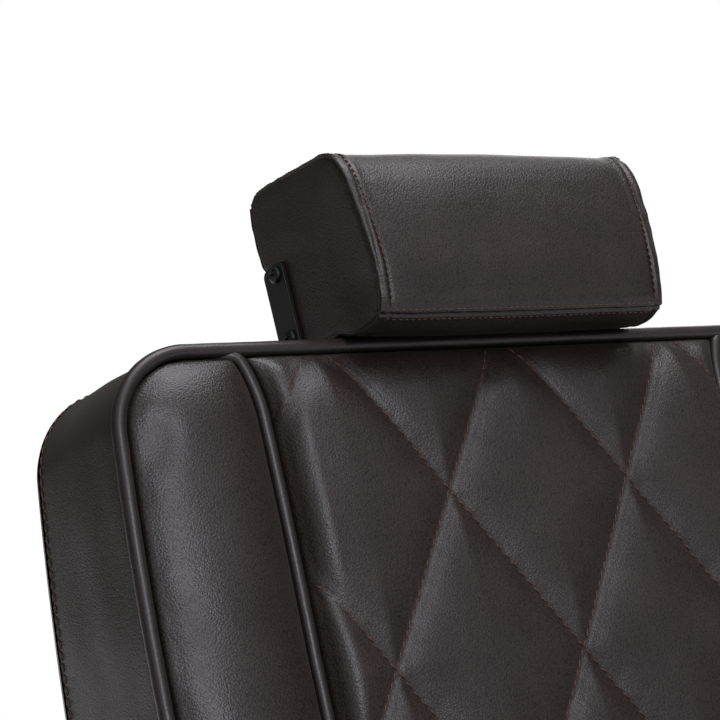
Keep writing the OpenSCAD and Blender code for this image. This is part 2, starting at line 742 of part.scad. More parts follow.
// Lifting ram, with a shroud that hangs from its shoulder over the pump
module lift_ram() color(chrome) {
  translate([0, 0, pump_top - pump_h + bore_floor + side_gap])
    cylinder(r = ram_r, h = ram_top - base_h - bore_floor - side_gap, $fn = 72);
  translate([0, 0, ram_top]) cylinder(r = spigot_r, h = bearing_h + spigot_h);
}
module pump_shroud() color(chrome) rotate_extrude($fn = 72) polygon([
  [ram_r + fix_gap, ram_top],
  [ram_r + fix_gap, ram_top - shoulder_t],
  [shroud_d / 2 - shroud_wall, ram_top - shoulder_t],
  [shroud_d / 2 - shroud_wall, flange_top + shroud_gap + shroud_lip_d * 0.2],
  [shroud_lip_d / 2 - shroud_wall, flange_top + shroud_gap],
  [shroud_lip_d / 2, flange_top + shroud_gap],
  [shroud_d / 2, flange_top + shroud_gap + shroud_lip_d * 0.2],
  [shroud_d / 2, ram_top - shoulder_t],
  [shroud_d / 2 - shoulder_t * 0.3, ram_top - shoulder_t * 0.3],
  [shroud_d / 2 - shoulder_t, ram_top]
]);
module swivel_bearing() color(plain_steel) translate([0, 0, ram_top]) difference() {
  cylinder(r = bearing_r, h = bearing_h, $fn = 72);
  translate([0, 0, -cut]) cylinder(r = spigot_r + fix_gap, h = bearing_h + 2 * cut);
}

// Head of the column: a hub that turns on the ram's spigot, under the seat's mounting plate
module swivel_hub() color(black_steel) difference() {
  union() {
    translate([0, 0, hub_z]) cylinder(r1 = hub_r, r2 = hub_r * 1.2, h = hub_h, $fn = 72);
    box([-plate_w / 2, -plate_len / 2, plate_z], [plate_w / 2, plate_len / 2, frame_z]);
    for (a = [45 : 90 : 315]) rotate([0, 0, a]) rotate([90, 0, 0]) translate([0, 0, -plate_t / 2])
      linear_extrude(plate_t) polygon([
        [hub_r * 0.8, hub_z],
        [hub_r, hub_z],
        [plate_w * 0.45, plate_z - plate_t * 0.4],
        [plate_w * 0.45, plate_z + plate_t * 0.5],
        [hub_r * 0.8, plate_z + plate_t * 0.5]
      ]);
  }
  translate([0, 0, hub_z - cut]) cylinder(r = spigot_r + run_gap, h = hub_h + plate_t + 2 * cut);
  mount_places() translate([0, 0, plate_z - cut]) cylinder(r = mount_bolt_r + fix_gap, h = plate_t + 2 * cut);
}
module hub_lock_ring() color(plain_steel) translate([0, 0, frame_z]) {
  cylinder(r = spigot_r * 1.35, h = lock_ring_t);
  translate([0, 0, lock_ring_t]) cylinder(r = spigot_r * 0.6, h = lock_ring_t, $fn = 6);
}
module mount_places() for (x = [-mount_x, mount_x], y = [-cross_y, cross_y]) translate([x, y, 0]) children();
module mount_bolts() color(plain_steel) mount_places() {
  translate([0, 0, plate_z]) bolt(mount_bolt_r, plate_t + rail - rail_wall * 0.2);
}

// Seat frame of square tube: two rails, a front and a rear tube, and two cross tubes that carry the arms
module square_tube(a, b, along) difference() {
  box(a, b);
  box(
    a + [for (k = [0 : 2]) k == along ? -cut : rail_wall],
    b - [for (k = [0 : 2]) k == along ? -cut : rail_wall]
  );
}
module seat_frame() color(black_steel) difference() {
  union() {
    both_sides() square_tube(
      [side_x - rail / 2, frame_front, frame_z], [side_x + rail / 2, frame_rear, frame_top], 1);
    for (y = [frame_front, frame_rear - rail]) difference() {
      square_tube([-side_x, y, frame_z], [side_x, y + rail, frame_top], 0);
      rail_cores();
    }
    for (y = [-cross_y, cross_y]) difference() {
      square_tube([-cross_len / 2, y - rail / 2, frame_z], [cross_len / 2, y + rail / 2, frame_top], 0);
      rail_cores();
    }
  }
  mount_places() translate([0, 0, frame_z - cut]) cylinder(r = mount_bolt_r + fix_gap, h = rail + 2 * cut);
}
module rail_cores() both_sides() box(
  [side_x - rail / 2 + rail_wall, frame_front, frame_z + rail_wall],
  [side_x + rail / 2 - rail_wall, frame_rear, frame_top - rail_wall]
);
module frame_plugs() color(plain_steel) both_sides() for (y = [-cross_y, cross_y]) difference() {
  box([cross_len / 2 - plug_len, y - rail_hole / 2 + fix_gap, frame_z + rail_wall + fix_gap],
    [cross_len / 2, y + rail_hole / 2 - fix_gap, frame_top - rail_wall - fix_gap]);
  rod_x(y, foot_z, arm_bolt_r + fix_gap, cross_len / 2 - plug_len - cut, cross_len / 2 + cut);
}

// Seat: plywood, a foam box, the quilted middle, two rolls, the side band and pipings
module seat_board() color(plywood) on_seat()
  slab(seat_side, seat_depth, seat_corner_r, -band_in - fix_gap, seat_band_h - ply_t, seat_band_h);
module seat_box() color(leather_dark) on_seat()
  slab(seat_side, seat_depth, seat_corner_r, -pad_inset, seat_pad_back, seat_band_h - ply_t);
module seat_quilted_panel() color(leather) on_seat() quilted_panel(seat_side, seat_depth, seat_pad_back, 0);
module seat_bolster_right() color(leather) on_seat()
  bolster(seat_side, seat_depth, seat_corner_r, seat_pad_back, 0);
module seat_bolster_left() color(leather) mirror([1, 0, 0]) on_seat()
  bolster(seat_side, seat_depth, seat_corner_r, seat_pad_back, 0);
module seat_band() color(leather) on_seat() difference() {
  slab(seat_side, seat_depth, seat_corner_r, band_out, band_front, seat_band_h);
  slab(seat_side, seat_depth, seat_corner_r, -band_in, band_front - cut, seat_band_h + cut);
}
module seat_piping() color(leather_dark) on_seat() outer_piping(seat_side, seat_depth, seat_corner_r);
module seat_inner_pipings() color(leather_dark) on_seat() both_sides() inner_piping(seat_side, seat_depth, 0);

// Arms: a bent tube over two posts, bolted to the cross tubes, with a padded board on top
arm_points = [
  [cross_y, foot_z],
  [cross_y, arm_z],
  [-cross_y, arm_z],
  [-cross_y, foot_z]
];
module arm_frame_right() color(chrome) difference() {
  union() {
    translate([arm_x, 0, 0]) rotate([90, 0, 90]) bent_tube(arm_points, arm_r, arm_bend_r, arm_wall);
    for (y = [-cross_y, cross_y]) {
      box([cross_len / 2, y - arm_r, frame_z - arm_foot_t],
        [arm_x, y + arm_r, frame_z - arm_foot_t + arm_foot_h]);
      translate([arm_x, y, frame_z - arm_foot_t]) cylinder(r = arm_r, h = arm_foot_h);
    }
  }
  for (y = [-cross_y, cross_y]) rod_x(y, foot_z, arm_bolt_r + fix_gap, cross_len / 2 - cut, arm_x + arm_d);
}
module arm_frame_left() mirror([1, 0, 0]) arm_frame_right();
module arm_bolts() color(plain_steel) both_sides() for (y = [-cross_y, cross_y])
  translate([arm_x + arm_r, y, foot_z]) rotate([0, -90, 0]) {
    cylinder(r = arm_bolt_r, h = arm_d + arm_foot_t + plug_len * 0.8);
    translate([0, 0, -arm_bolt_r * 0.7]) cylinder(r = arm_bolt_r * 1.7, h = arm_bolt_r * 0.7);
  }
module arm_outline(out) translate([arm_x, arm_pad_rear - arm_pad_len / 2]) {
  run = arm_pad_len / 2 - arm_pad_w * 0.35;
  square([arm_pad_w + 2 * out, 2 * run], center = true);
  square([arm_pad_w * 0.3 + 2 * out, arm_pad_len + 2 * out], center = true);
  for (x = [-1, 1], y = [-1, 1])
    translate([x * arm_pad_w * 0.15, y * run]) circle(r = arm_pad_w * 0.35 + out);
}
arm_board_z = arm_z + arm_r - arm_board_sink;
module arm_boards() color(black_steel) both_sides() difference() {
  translate([0, 0, arm_board_z]) linear_extrude(arm_board_t) arm_outline(-band_t);
  translate([arm_x, arm_pad_rear, arm_z]) rotate([90, 0, 0]) cylinder(r = arm_r + fix_gap, h = arm_pad_len);
}
module arm_pad_right() color(leather) {
  nx = 10;
  nz = 22;
  base = arm_board_z + arm_board_t + fix_gap;
  front = function(i, j)
    let (
      v = arm_pad_len * spread_share(j, nz),
      half = arm_pad_w / 2 - corner_cut(min(v, arm_pad_len - v), arm_pad_w * 0.34),
      x = half * (2 * spread_share(i, nx) - 1),
      from_end = min(1, min(v, arm_pad_len - v) / arm_pad_h),
      e = sqrt(max(0, 1 - pow(abs(x) / half, 3))) * sqrt(max(0, 1 - pow(1 - from_end, 2)))
    )
    [x, -arm_pad_h * 0.35 - arm_pad_h * 0.65 * e, -v];
  translate([arm_x, arm_pad_rear, base]) rotate([-90, 0, 0])
    pad_solid(nx, nz, front, 0, function(i, j) i < nx / 2);
}
module arm_pad_left() mirror([1, 0, 0]) arm_pad_right();

// Recline mechanism: brackets on the rear tube, pins, and the backrest's hinge arms with their cranks
pivot = [pivot_y, pivot_z];
crank_pin = [pivot_y + crank_y, pivot_z - crank_z];
module recline_brackets() color(black_steel) both_sides() difference() {
  union() {
    plate_x(bracket_x - link_t / 2, bracket_x + link_t / 2) difference() {
      bar_2d([frame_rear - rail, foot_z], pivot, boss_r);
      translate([frame_rear - 3 * rail, frame_z - rail]) square([3 * rail, 3 * rail]);
    }
    box([bracket_x - link_t / 2, frame_rear, frame_z], [bracket_x + rail, frame_rear + link_t, frame_top]);
  }
  rod_x(pivot_y, pivot_z, pin_r + fix_gap, bracket_x - rail, bracket_x + rail);
}
module recline_pins() color(plain_steel) both_sides() {
  rod_x(pivot_y, pivot_z, pin_r, link_x - link_t / 2 - side_gap, bracket_x + link_t / 2);
  rod_x(pivot_y, pivot_z, pin_r * 1.5, bracket_x + link_t / 2, bracket_x + link_t);
  rod_x(pivot_y, pivot_z, pin_r * 1.3, link_x - link_t - side_gap, link_x - link_t / 2 - side_gap);
}
function back_place(v, w) = [
  back_top_y - v * sin(recline) + w * cos(recline),
  back_top_z - v * cos(recline) - w * sin(recline)
];
module back_hinge_arms() color(black_steel) both_sides() difference() {
  foot_v = back_len - band_t - link_t;
  head_v = arm_plate_v - boss_r;
  union() {
    plate_x(link_x - link_t / 2, link_x + link_t / 2) {
      bar_2d(back_place(arm_plate_v, pivot_back), pivot, boss_r);
      bar_2d(pivot, crank_pin, eye_r);
      polygon([
        back_place(foot_v, board_back + fix_gap),
        back_place(foot_v, pivot_back),
        back_place(head_v, pivot_back),
        back_place(head_v, board_back + fix_gap)
      ]);
    }
    on_back() box([link_x, board_back, -foot_v], [link_x + hinge_flange_w, board_back + link_t, -head_v]);
  }
  rod_x(pivot_y, pivot_z, pin_r + run_gap, link_x - link_t, link_x + link_t);
  rod_x(crank_pin[0], crank_pin[1], link_pin_r + fix_gap, link_x - link_t, link_x + link_t);
  hinge_bolt_places() rotate([90, 0, 0]) cylinder(r = hinge_bolt_r + fix_gap, h = rail, center = true);
}
module hinge_bolt_places() on_back() for (k = [0 : 2]) {
  down = arm_plate_v + hinge_bolt_first + hinge_bolt_step * k;
  translate([link_x + hinge_flange_w * 0.6, board_back + link_t, -down]) children();
}
module back_hinge_bolts() color(plain_steel) both_sides() hinge_bolt_places() rotate([90, 0, 0])
  bolt(hinge_bolt_r, link_t + board_t * 0.9);
module back_crank_pins() color(plain_steel) {
  crank_rod(link_x - link_t / 2 - side_gap - link_bar_t - side_gap);
  mirror([1, 0, 0]) crank_rod(link_x - link_t / 2 - side_gap - strut_eye_w - side_gap);
}
module crank_rod(inner) {
  rod_x(crank_pin[0], crank_pin[1], link_pin_r, inner, link_x + link_t / 2);
  rod_x(crank_pin[0], crank_pin[1], link_pin_r * 1.4, link_x + link_t / 2, link_x + link_t);
  rod_x(crank_pin[0], crank_pin[1], strut_eye_r * 1.25, inner - link_t / 3, inner);
}

// Gas strut on the -X side: its cylinder hangs from a lug on the front cross tube, its rod from the crank
module strut_lug() color(black_steel) mirror([1, 0, 0]) difference() {
  plate_x(strut_x - strut_eye_w / 2 - link_t, strut_x - strut_eye_w / 2) difference() {
    bar_2d([strut_front_y, strut_z], [strut_front_y, frame_z], eye_r);
    translate([strut_front_y - rail, frame_z]) square([2 * rail, rail]);
  }
  rod_x(strut_front_y, strut_z, link_pin_r + fix_gap, strut_x - rail, strut_x + rail);
}
module strut_cylinder() color(black_steel) mirror([1, 0, 0]) difference() {
  union() {
    rod_x(strut_front_y, strut_z, eye_r, strut_x - strut_eye_w / 2, strut_x + strut_eye_w / 2);
    rod_x(strut_front_y, strut_z, link_pin_r, strut_x - strut_eye_w / 2 - link_t, strut_x + strut_eye_w / 2);
    translate([strut_x, strut_front_y, strut_z]) rotate([-90, 0, 0]) {
      cylinder(r = strut_eye_w * 0.45, h = eye_r * 2);
      translate([0, 0, eye_r * 1.6]) cylinder(r = strut_r, h = strut_body - eye_r * 1.6);
    }
  }
  translate([strut_x, strut_front_y + eye_r * 2, strut_z]) rotate([-90, 0, 0])
    cylinder(r = strut_rod_r + run_gap, h = strut_body);
}
module strut_rod() color(chrome) mirror([1, 0, 0]) difference() {
  union() {
    translate([strut_x, strut_front_y + strut_body * 0.55, strut_z]) rotate([-90, 0, 0])
      cylinder(r = strut_rod_r, h = strut_len - strut_body * 0.55 - strut_eye_r * 1.2);
    rod_x(crank_pin[0], strut_z, strut_eye_r * 1.5, strut_x - strut_eye_w / 2, strut_x + strut_eye_w / 2);
  }
  rod_x(crank_pin[0], strut_z, strut_eye_r, strut_x - strut_eye_w, strut_x + strut_eye_w);
}

// Recline lever beside the +X rail
module lever_bracket() color(black_steel) difference() {
  union() {
    box([frame_w / 2, lever_y - lever_boss_r, frame_z],
      [frame_w / 2 + link_t, lever_y + lever_boss_r, frame_top]);
    rod_x(lever_y, lever_z, lever_pin_r * 1.6, frame_w / 2, lever_x - lever_boss_w / 2 - side_gap);
    rod_x(lever_y, lever_z, lever_pin_r, frame_w / 2, lever_x + lever_boss_w / 2 + side_gap);
    rod_x(lever_y, lever_z, lever_pin_r * 1.5,
      lever_x + lever_boss_w / 2 + side_gap, lever_x + lever_boss_w / 2 + link_t / 2);
  }
}
module recline_lever() color(chrome) difference() {
  union() {
    rod_x(lever_y, lever_z, lever_boss_r, lever_x - lever_boss_w / 2, lever_x + lever_boss_w / 2);
    translate([lever_x, lever_y - lever_boss_r * 0.7, lever_z]) rotate([90, 0, 0])
      cylinder(r = lever_r, h = lever_len - lever_boss_r * 0.7);
  }
  rod_x(lever_y, lever_z, lever_pin_r + run_gap, lever_x - lever_boss_w, lever_x + lever_boss_w);
}
module lever_grip() color(rubber)
  translate([lever_x, lever_y - lever_len + lever_grip_len * 0.62, lever_z]) rotate([90, 0, 0]) difference() {
    rotate_extrude() polygon([
      [0, 0],
      [lever_grip_r * 0.8, 0],
      [lever_grip_r, lever_grip_len * 0.1],
      [lever_grip_r * 0.85, lever_grip_len * 0.5],
      [lever_grip_r, lever_grip_len * 0.9],
      [lever_grip_r * 0.7, lever_grip_len],
      [0, lever_grip_len]
    ]);
    translate([0, 0, -cut]) cylinder(r = lever_r + fix_gap, h = lever_grip_len * 0.62 + cut + fix_gap);
  }

// Backrest: board, quilted middle, two rolls, side band, rounded rear panel and pipings
module back_board() color(plywood) difference() {
  on_back() difference() {
    slab(back_side, back_len, back_corner_r, -band_in - fix_gap, pad_back, board_back);
  }
  both_sides() hinge_bolt_places() rotate([90, 0, 0])
    cylinder(r = hinge_bolt_r + fix_gap, h = link_t + board_t * 1.9);
}
module back_quilted_panel() color(leather) on_back() quilted_panel(back_side, back_len, pad_back, flare);
module back_bolster_right() color(leather) on_back()
  bolster(back_side, back_len, back_corner_r, pad_back, flare);
module back_bolster_left() color(leather) mirror([1, 0, 0]) on_back()
  bolster(back_side, back_len, back_corner_r, pad_back, flare);
// Block of the side band, whose top edge rises towards the rear
module band_block(out, y0, y1) hull() {
  slab(back_side, back_len, back_corner_r, out, y0, y0 + cut);
  slab(back_side, back_len, back_corner_r, out, y1 - cut, y1);
  translate([0, 0, back_top_rise * y1 / band_end(0)]) slab(back_side, back_len, back_corner_r, out, y1 - cut, y1);
}
module back_band() color(leather) on_back() difference() {
  band_block(band_out, band_front, back_mid_t);
  band_block(-band_in, band_front - cut, back_mid_t + cut);
  rotate([90, 0, 90]) linear_extrude(2 * back_mid_w, center = true) polygon(concat(
    [for (k = [0 : side_steps * 2]) let (v = back_len * k / (side_steps * 2)) [band_end(v), -v]],
    [
      [band_end(back_len), -back_len - 3 * band_t],
      [back_mid_t * 2, -back_len - 3 * band_t],
      [back_mid_t * 2, 3 * band_t + 2 * back_top_rise],
      [band_end(0), 3 * band_t + 2 * back_top_rise]
    ]
  ));
  both_sides() {
    box([link_x - link_t / 2 - side_gap, board_back - soft_gap, -back_len - 2 * band_t],
      [link_x + link_t / 2 + side_gap, pivot_back + boss_r + rail, -back_len + 2 * band_t]);
    box([head_half - bar_t, bar_back - bar_w / 2 - soft_gap, -2 * band_t],
      [head_half + 2 * bar_t, bar_back + bar_w / 2 + soft_gap, 2 * band_t + back_top_rise]);
  }
}
module back_rear_panel() color(leather) on_back() {
  nx = 16;
  nz = 20;
  grid_solid(nx, nz,
    function(i, j) rear_point(i, j, nx, nz, band_t),
    function(i, j) rear_point(i, j, nx, nz, 0),
    function(i, j) true);
}
module back_piping() color(leather_dark) on_back() outer_piping(back_side, back_len, back_corner_r);
module back_inner_pipings() color(leather_dark) on_back() both_sides()
  inner_piping(back_side, back_len, flare);

// Headrest: a pad between two flat bars that slide in guides behind the backrest's board
bar_in = head_half + side_gap / 2;
module headrest_guides() color(black_steel) on_back() both_sides() difference() {
  guide_end = bar_back + bar_w / 2 + side_gap + guide_wall;
  union() {
    box([bar_in - side_gap - guide_wall, board_back, -bar_hold - 3 * guide_lip],
      [bar_in + bar_t + side_gap + guide_wall, guide_end, -band_t - soft_gap]);
    box([bar_in - side_gap - guide_wall - guide_lip, board_back, -bar_hold - 3 * guide_lip],
      [bar_in + bar_t + side_gap + guide_wall + guide_lip, board_back + guide_wall, -band_t - soft_gap]);
  }
  box([bar_in - side_gap, bar_back - bar_w / 2 - side_gap, -bar_hold - 4 * guide_lip],
    [bar_in + bar_t + side_gap, bar_back + bar_w / 2 + side_gap, 0]);
}
head_profile_shares = [
  [0.1, -0.035], [0.2, -0.05], [0.3, -0.045], [0.365, -0.01], [0.415, 0.05], [0.442, 0.17], [0.455, 0.29],
  [0.457, 0.42], [0.452, 0.55], [0.438, 0.67], [0.402, 0.77], [0.328, 0.85], [0.19, 0.905], [0.02, 0.942], [-0.21, 0.978],
  [-0.39, 1], [-0.48, 0.99], [-0.535, 0.95], [-0.562, 0.88], [-0.57, 0.8], [-0.566, 0.64], [-0.53, 0.55],
  [-0.475, 0.48], [-0.445, 0.35], [-0.44, 0.2], [-0.42, 0.09], [-0.37, 0.035], [-0.15, 0.02],
  [0.02, 0.022]
];
head_across_shares = [-1, -0.985, -0.94, -0.8, -0.5, 0, 0.5, 0.8, 0.94, 0.985, 1];
head_in_shares = [0.075, 0.035, 0.008, -0.006, -0.014, -0.018, -0.014, -0.006, 0.008, 0.035, 0.075];
module headrest_pad() color(leather) on_back() difference() {
  n = len(head_profile_shares);
  m = len(head_across_shares);
  mid_share = [-0.09, 0.5];
  points = [for (k = [0 : m - 1], p = head_profile_shares) let (
      q = p + (mid_share - p) * head_in_shares[k] / norm(mid_share - p)
    ) [head_half * head_across_shares[k], -q[0] * head_depth, head_base + head_h * q[1]]];
  faces = concat(
    [for (k = [0 : m - 2], s = [0 : n - 1]) let (
        a = k * n + s, b = k * n + (s + 1) % n, c = (k + 1) * n + (s + 1) % n, d = (k + 1) * n + s
      ) each [[a, c, b], [a, d, c]]],
    [[for (s = [0 : n - 1]) s], [for (s = [0 : n - 1]) (m - 1) * n + n - 1 - s]]
  );
  polyhedron(points, faces, convexity = 6);
  both_sides() screw_places() rotate([0, 90, 0])
    cylinder(r = screw_head_d * 0.25 + fix_gap, h = 3 * screw_len, center = true);
}
module screw_places() for (k = [0, 1])
  translate([bar_in + bar_t, bar_back - bar_w * 0.13, bar_top - screw_top_drop - screw_gap * k]) children();
module headrest_bars() color(black_steel) on_back() both_sides() difference() {
  union() {
    box([bar_in, bar_back - bar_w / 2, -bar_hold],
      [bar_in + bar_t, bar_back + bar_w / 2, bar_top - bar_w * 0.35]);
    translate([bar_in, bar_back, bar_top - bar_w / 2]) rotate([0, 90, 0]) cylinder(r = bar_w / 2, h = bar_t);
  }
  screw_places() rotate([0, 90, 0]) cylinder(r = screw_head_d * 0.25 + fix_gap, h = 4 * bar_t, center = true);
}
module headrest_screws() color(black_steel) on_back() both_sides() screw_places() rotate([0, -90, 0]) {
  cylinder(r = screw_head_d * 0.25, h = bar_t + screw_len);
  translate([0, 0, -screw_head_d * 0.14]) cylinder(r = screw_head_d * 0.5, h = screw_head_d * 0.14);
  translate([0, 0, -screw_head_d * 0.3])
    cylinder(r1 = screw_head_d * 0.32, r2 = screw_head_d * 0.5, h = screw_head_d * 0.16);
}

// Footrest: a U of tube on two hinge plates under the seat's front, with a ribbed plate
foot_pivot = [-foot_pivot_y, foot_z];
foot_way = [-cos(foot_angle), -sin(foot_angle)];
foot_pin = [-foot_pivot_y + crank_y, foot_z - crank_z];
module footrest_lugs() color(black_steel) both_sides() difference() {
  plate_x(lug_x - link_t / 2, lug_x + link_t / 2) difference() {
    bar_2d(foot_pivot, [frame_front + rail, foot_z], boss_r);
    translate([frame_front, foot_z - rail]) square([3 * rail, 2 * rail]);
  }
  rod_x(foot_pivot[0], foot_pivot[1], pin_r + fix_gap, lug_x - rail, lug_x + rail);
}
module footrest_pins() color(plain_steel) both_sides() {
  rod_x(foot_pivot[0], foot_pivot[1], pin_r, lug_x - link_t / 2, link_x + link_t / 2 + side_gap);
  rod_x(foot_pivot[0], foot_pivot[1], pin_r * 1.3, lug_x - link_t, lug_x - link_t / 2);
  rod_x(foot_pivot[0], foot_pivot[1], pin_r * 1.3, link_x + link_t / 2 + side_gap, link_x + link_t);
}
module footrest_frame() color(chrome) difference() {
  union() {
    plate_x(-link_x - link_t / 2, -link_x + link_t / 2)
      bar_2d(foot_pivot, foot_pivot + foot_way * foot_start * 3.4, boss_r);
    plate_x(link_x - link_t / 2, link_x + link_t / 2) {
      bar_2d(foot_pivot, foot_pivot + foot_way * foot_start * 3.4, boss_r);
      bar_2d(foot_pivot, foot_pin, eye_r);
    }
    translate([0, foot_pivot[0], foot_pivot[1]]) rotate([foot_angle, 0, 0]) mirror([0, 1, 0]) bent_tube(
      [[-foot_x, foot_start], [-foot_x, foot_len], [foot_x, foot_len], [foot_x, foot_start]],
      foot_tube_r, foot_bend, arm_wall
    );
  }
  both_sides() rod_x(foot_pivot[0], foot_pivot[1], pin_r + run_gap, link_x - rail, link_x + rail);
  rod_x(foot_pin[0], foot_pin[1], link_pin_r + fix_gap, link_x - rail, link_x + rail);
}
module footrest_crank_pin() color(plain_steel) {
  inner = link_bar_x - link_bar_t / 2 - side_gap;
  rod_x(foot_pin[0], foot_pin[1], link_pin_r, inner, link_x + link_t / 2);
  rod_x(foot_pin[0], foot_pin[1], link_pin_r * 1.4, link_x + link_t / 2, link_x + link_t);
  rod_x(foot_pin[0], foot_pin[1], eye_r, inner - link_t / 3, inner);
}
module footrest_link() color(black_steel) difference() {
  plate_x(link_bar_x - link_bar_t / 2, link_bar_x + link_bar_t / 2) {
    bar_2d(foot_pin, crank_pin, eye_r * 0.7);
    translate(foot_pin) circle(r = eye_r * 1.15);
    translate(crank_pin) circle(r = eye_r * 1.15);
  }
  rod_x(crank_pin[0], crank_pin[1], link_pin_r + run_gap, link_bar_x - rail, link_bar_x + rail);
  rod_x(foot_pin[0], foot_pin[1], link_pin_r + side_gap, link_bar_x - rail, link_bar_x + rail);
}
foot_tip = foot_pivot + foot_way * foot_len;
module on_foot_plate() translate([0, foot_tip[0], foot_tip[1]]) rotate([-foot_plate_tilt, 0, 0]) children();
module foot_plate() color(plain_steel) on_foot_plate() difference() {
  half = foot_plate_w / 2;
  front = foot_plate_front;
  union() {
    box([-half, front, 0], [half, foot_plate_rear, foot_plate_t]);
    box([-half, front, 0], [half, front + foot_plate_t, foot_lip]);
    both_sides() {
      box([half - foot_plate_t, front, 0], [half, foot_plate_rear, foot_lip * 0.7]);
      for (share = [0.2, 0.5, 0.8]) box(
        [0, front + foot_plate_d * share, -foot_plate_t],
        [half - foot_plate_t, front + foot_plate_d * share + foot_plate_t, foot_plate_t / 2]
      );
      box([foot_saddle_x - foot_saddle_w / 2, foot_plate_rear - foot_saddle_w, -foot_plate_t],
        [foot_saddle_x + foot_saddle_w / 2, 0, foot_tube_r + foot_plate_t]);
      rod_x(0, 0, foot_tube_r + foot_plate_t,
        foot_saddle_x - foot_saddle_w / 2, foot_saddle_x + foot_saddle_w / 2);
    }
  }
  rod_x(0, 0, foot_tube_r + fix_gap, -foot_plate_w, foot_plate_w);
}
module foot_treads() color(rubber) on_foot_plate() for (k = [0 : foot_treads_n - 1]) {
  half = foot_plate_w * 0.44;
  y = foot_plate_front + foot_plate_t + (foot_plate_d - foot_plate_t - foot_saddle_w) * (k + 0.3) / foot_treads_n;
  box([-half, y, foot_plate_t], [half, y + foot_tread_w, foot_plate_t + foot_tread_t]);
}

base_plate();
base_foot_ring();
pump_cylinder();
pump_flange_bolts();
pump_collar();
pedal_pin();
pump_pedal();
pedal_tread();
lift_ram();
pump_shroud();
swivel_bearing();
swivel_hub();
hub_lock_ring();
mount_bolts();
seat_frame();
frame_plugs();
seat_board();
seat_box();
seat_quilted_panel();
seat_bolster_left();
seat_bolster_right();
seat_band();
seat_piping();
seat_inner_pipings();
arm_frame_left();
arm_frame_right();
arm_boards();
arm_pad_left();
arm_pad_right();
arm_bolts();
recline_brackets();
recline_pins();
footrest_lugs();
footrest_pins();
strut_lug();
strut_cylinder();
strut_rod();
lever_bracket();
recline_lever();
lever_grip();
back_board();
back_quilted_panel();
back_bolster_left();
back_bolster_right();
back_band();
back_rear_panel();
back_piping();
back_inner_pipings();
back_hinge_arms();
back_hinge_bolts();
back_crank_pins();
headrest_guides();
headrest_pad();
headrest_bars();
headrest_screws();
footrest_frame();
foot_plate();
foot_treads();
footrest_link();
footrest_crank_pin();
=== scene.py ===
import json
import math
from collections import namedtuple

import bpy
import numpy as np
from mathutils import Matrix, Vector
from mathutils.kdtree import KDTree


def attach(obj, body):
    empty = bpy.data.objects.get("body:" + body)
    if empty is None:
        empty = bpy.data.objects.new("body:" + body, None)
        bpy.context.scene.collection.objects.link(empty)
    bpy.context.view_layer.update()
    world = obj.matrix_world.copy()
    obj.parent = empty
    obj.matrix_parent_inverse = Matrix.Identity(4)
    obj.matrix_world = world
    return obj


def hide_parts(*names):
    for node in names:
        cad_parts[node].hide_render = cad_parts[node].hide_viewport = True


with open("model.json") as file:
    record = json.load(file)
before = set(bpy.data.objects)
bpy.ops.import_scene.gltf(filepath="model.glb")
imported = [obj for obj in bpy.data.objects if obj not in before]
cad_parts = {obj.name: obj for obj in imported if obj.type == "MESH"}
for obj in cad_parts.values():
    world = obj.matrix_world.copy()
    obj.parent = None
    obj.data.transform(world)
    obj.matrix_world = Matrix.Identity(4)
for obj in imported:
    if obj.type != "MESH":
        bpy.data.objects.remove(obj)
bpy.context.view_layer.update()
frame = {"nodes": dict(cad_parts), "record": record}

# Camera
# It stands to the left of the chair, level with the top of the backrest, and looks at the headrest
# and the upper left corner of the back through a long lens, leaning a little to one side.
camera_place = Vector((-0.89595, -0.83209, 1.00893))
camera_yaw = math.radians(32.97)
camera_pitch = math.radians(0.47)
camera_roll = math.radians(-2.68)
camera_focus_px = 2409.2
photo_px = 720
sensor = 36.0

look = Vector((
    math.sin(camera_yaw) * math.cos(camera_pitch),
    math.cos(camera_yaw) * math.cos(camera_pitch),
    math.sin(camera_pitch),
))
level_right = Vector((math.cos(camera_yaw), -math.sin(camera_yaw), 0))
level_up = level_right.cross(look)
rolled_right = level_right * math.cos(camera_roll) + level_up * math.sin(camera_roll)
rolled_up = level_up * math.cos(camera_roll) - level_right * math.sin(camera_roll)
camera_data = bpy.data.cameras.new("camera")
camera_data.sensor_fit = "HORIZONTAL"
camera_data.sensor_width = sensor
camera_data.lens = camera_focus_px / photo_px * sensor
camera_data.clip_start = 0.05
camera_data.clip_end = 60
camera = bpy.data.objects.new("camera", camera_data)
camera.matrix_world = Matrix((
    (rolled_right.x, rolled_up.x, -look.x, camera_place.x),
    (rolled_right.y, rolled_up.y, -look.y, camera_place.y),
    (rolled_right.z, rolled_up.z, -look.z, camera_place.z),
    (0, 0, 0, 1),
))
bpy.context.scene.collection.objects.link(camera)
bpy.context.scene.camera = camera
bpy.context.scene.view_settings.view_transform = "Standard"

# Floor, surroundings and lamps
# A white studio: a pale floor that keeps the chair's shadow, surroundings that are brightest in front
# of and above the chair, a broad soft lamp overhead, one from the front left and a weak one behind.
floor_half = 12.0
floor_shaded_to = 1.1
floor_white_from = 2.6
surround_level = 0.42
surround_dim = 0.1
brightest_toward = (-0.2, -0.8, 0.5)
floor_glow = 0.32


def shader_nodes(owner):
    owner.use_nodes = True
    tree = owner.node_tree
    tree.nodes.clear()
    return tree


def feed(tree, node, values):
    # gives inputs, by name or number, a plain value or joins another node's output to them
    for key, value in values.items():
        if isinstance(value, bpy.types.NodeSocket):
            tree.links.new(value, node.inputs[key])
        else:
            node.inputs[key].default_value = value
    return node


def add_node(tree, kind, values=None, **settings):
    node = tree.nodes.new(kind)
    for key, value in settings.items():
        setattr(node, key, value)
    return feed(tree, node, values or {})


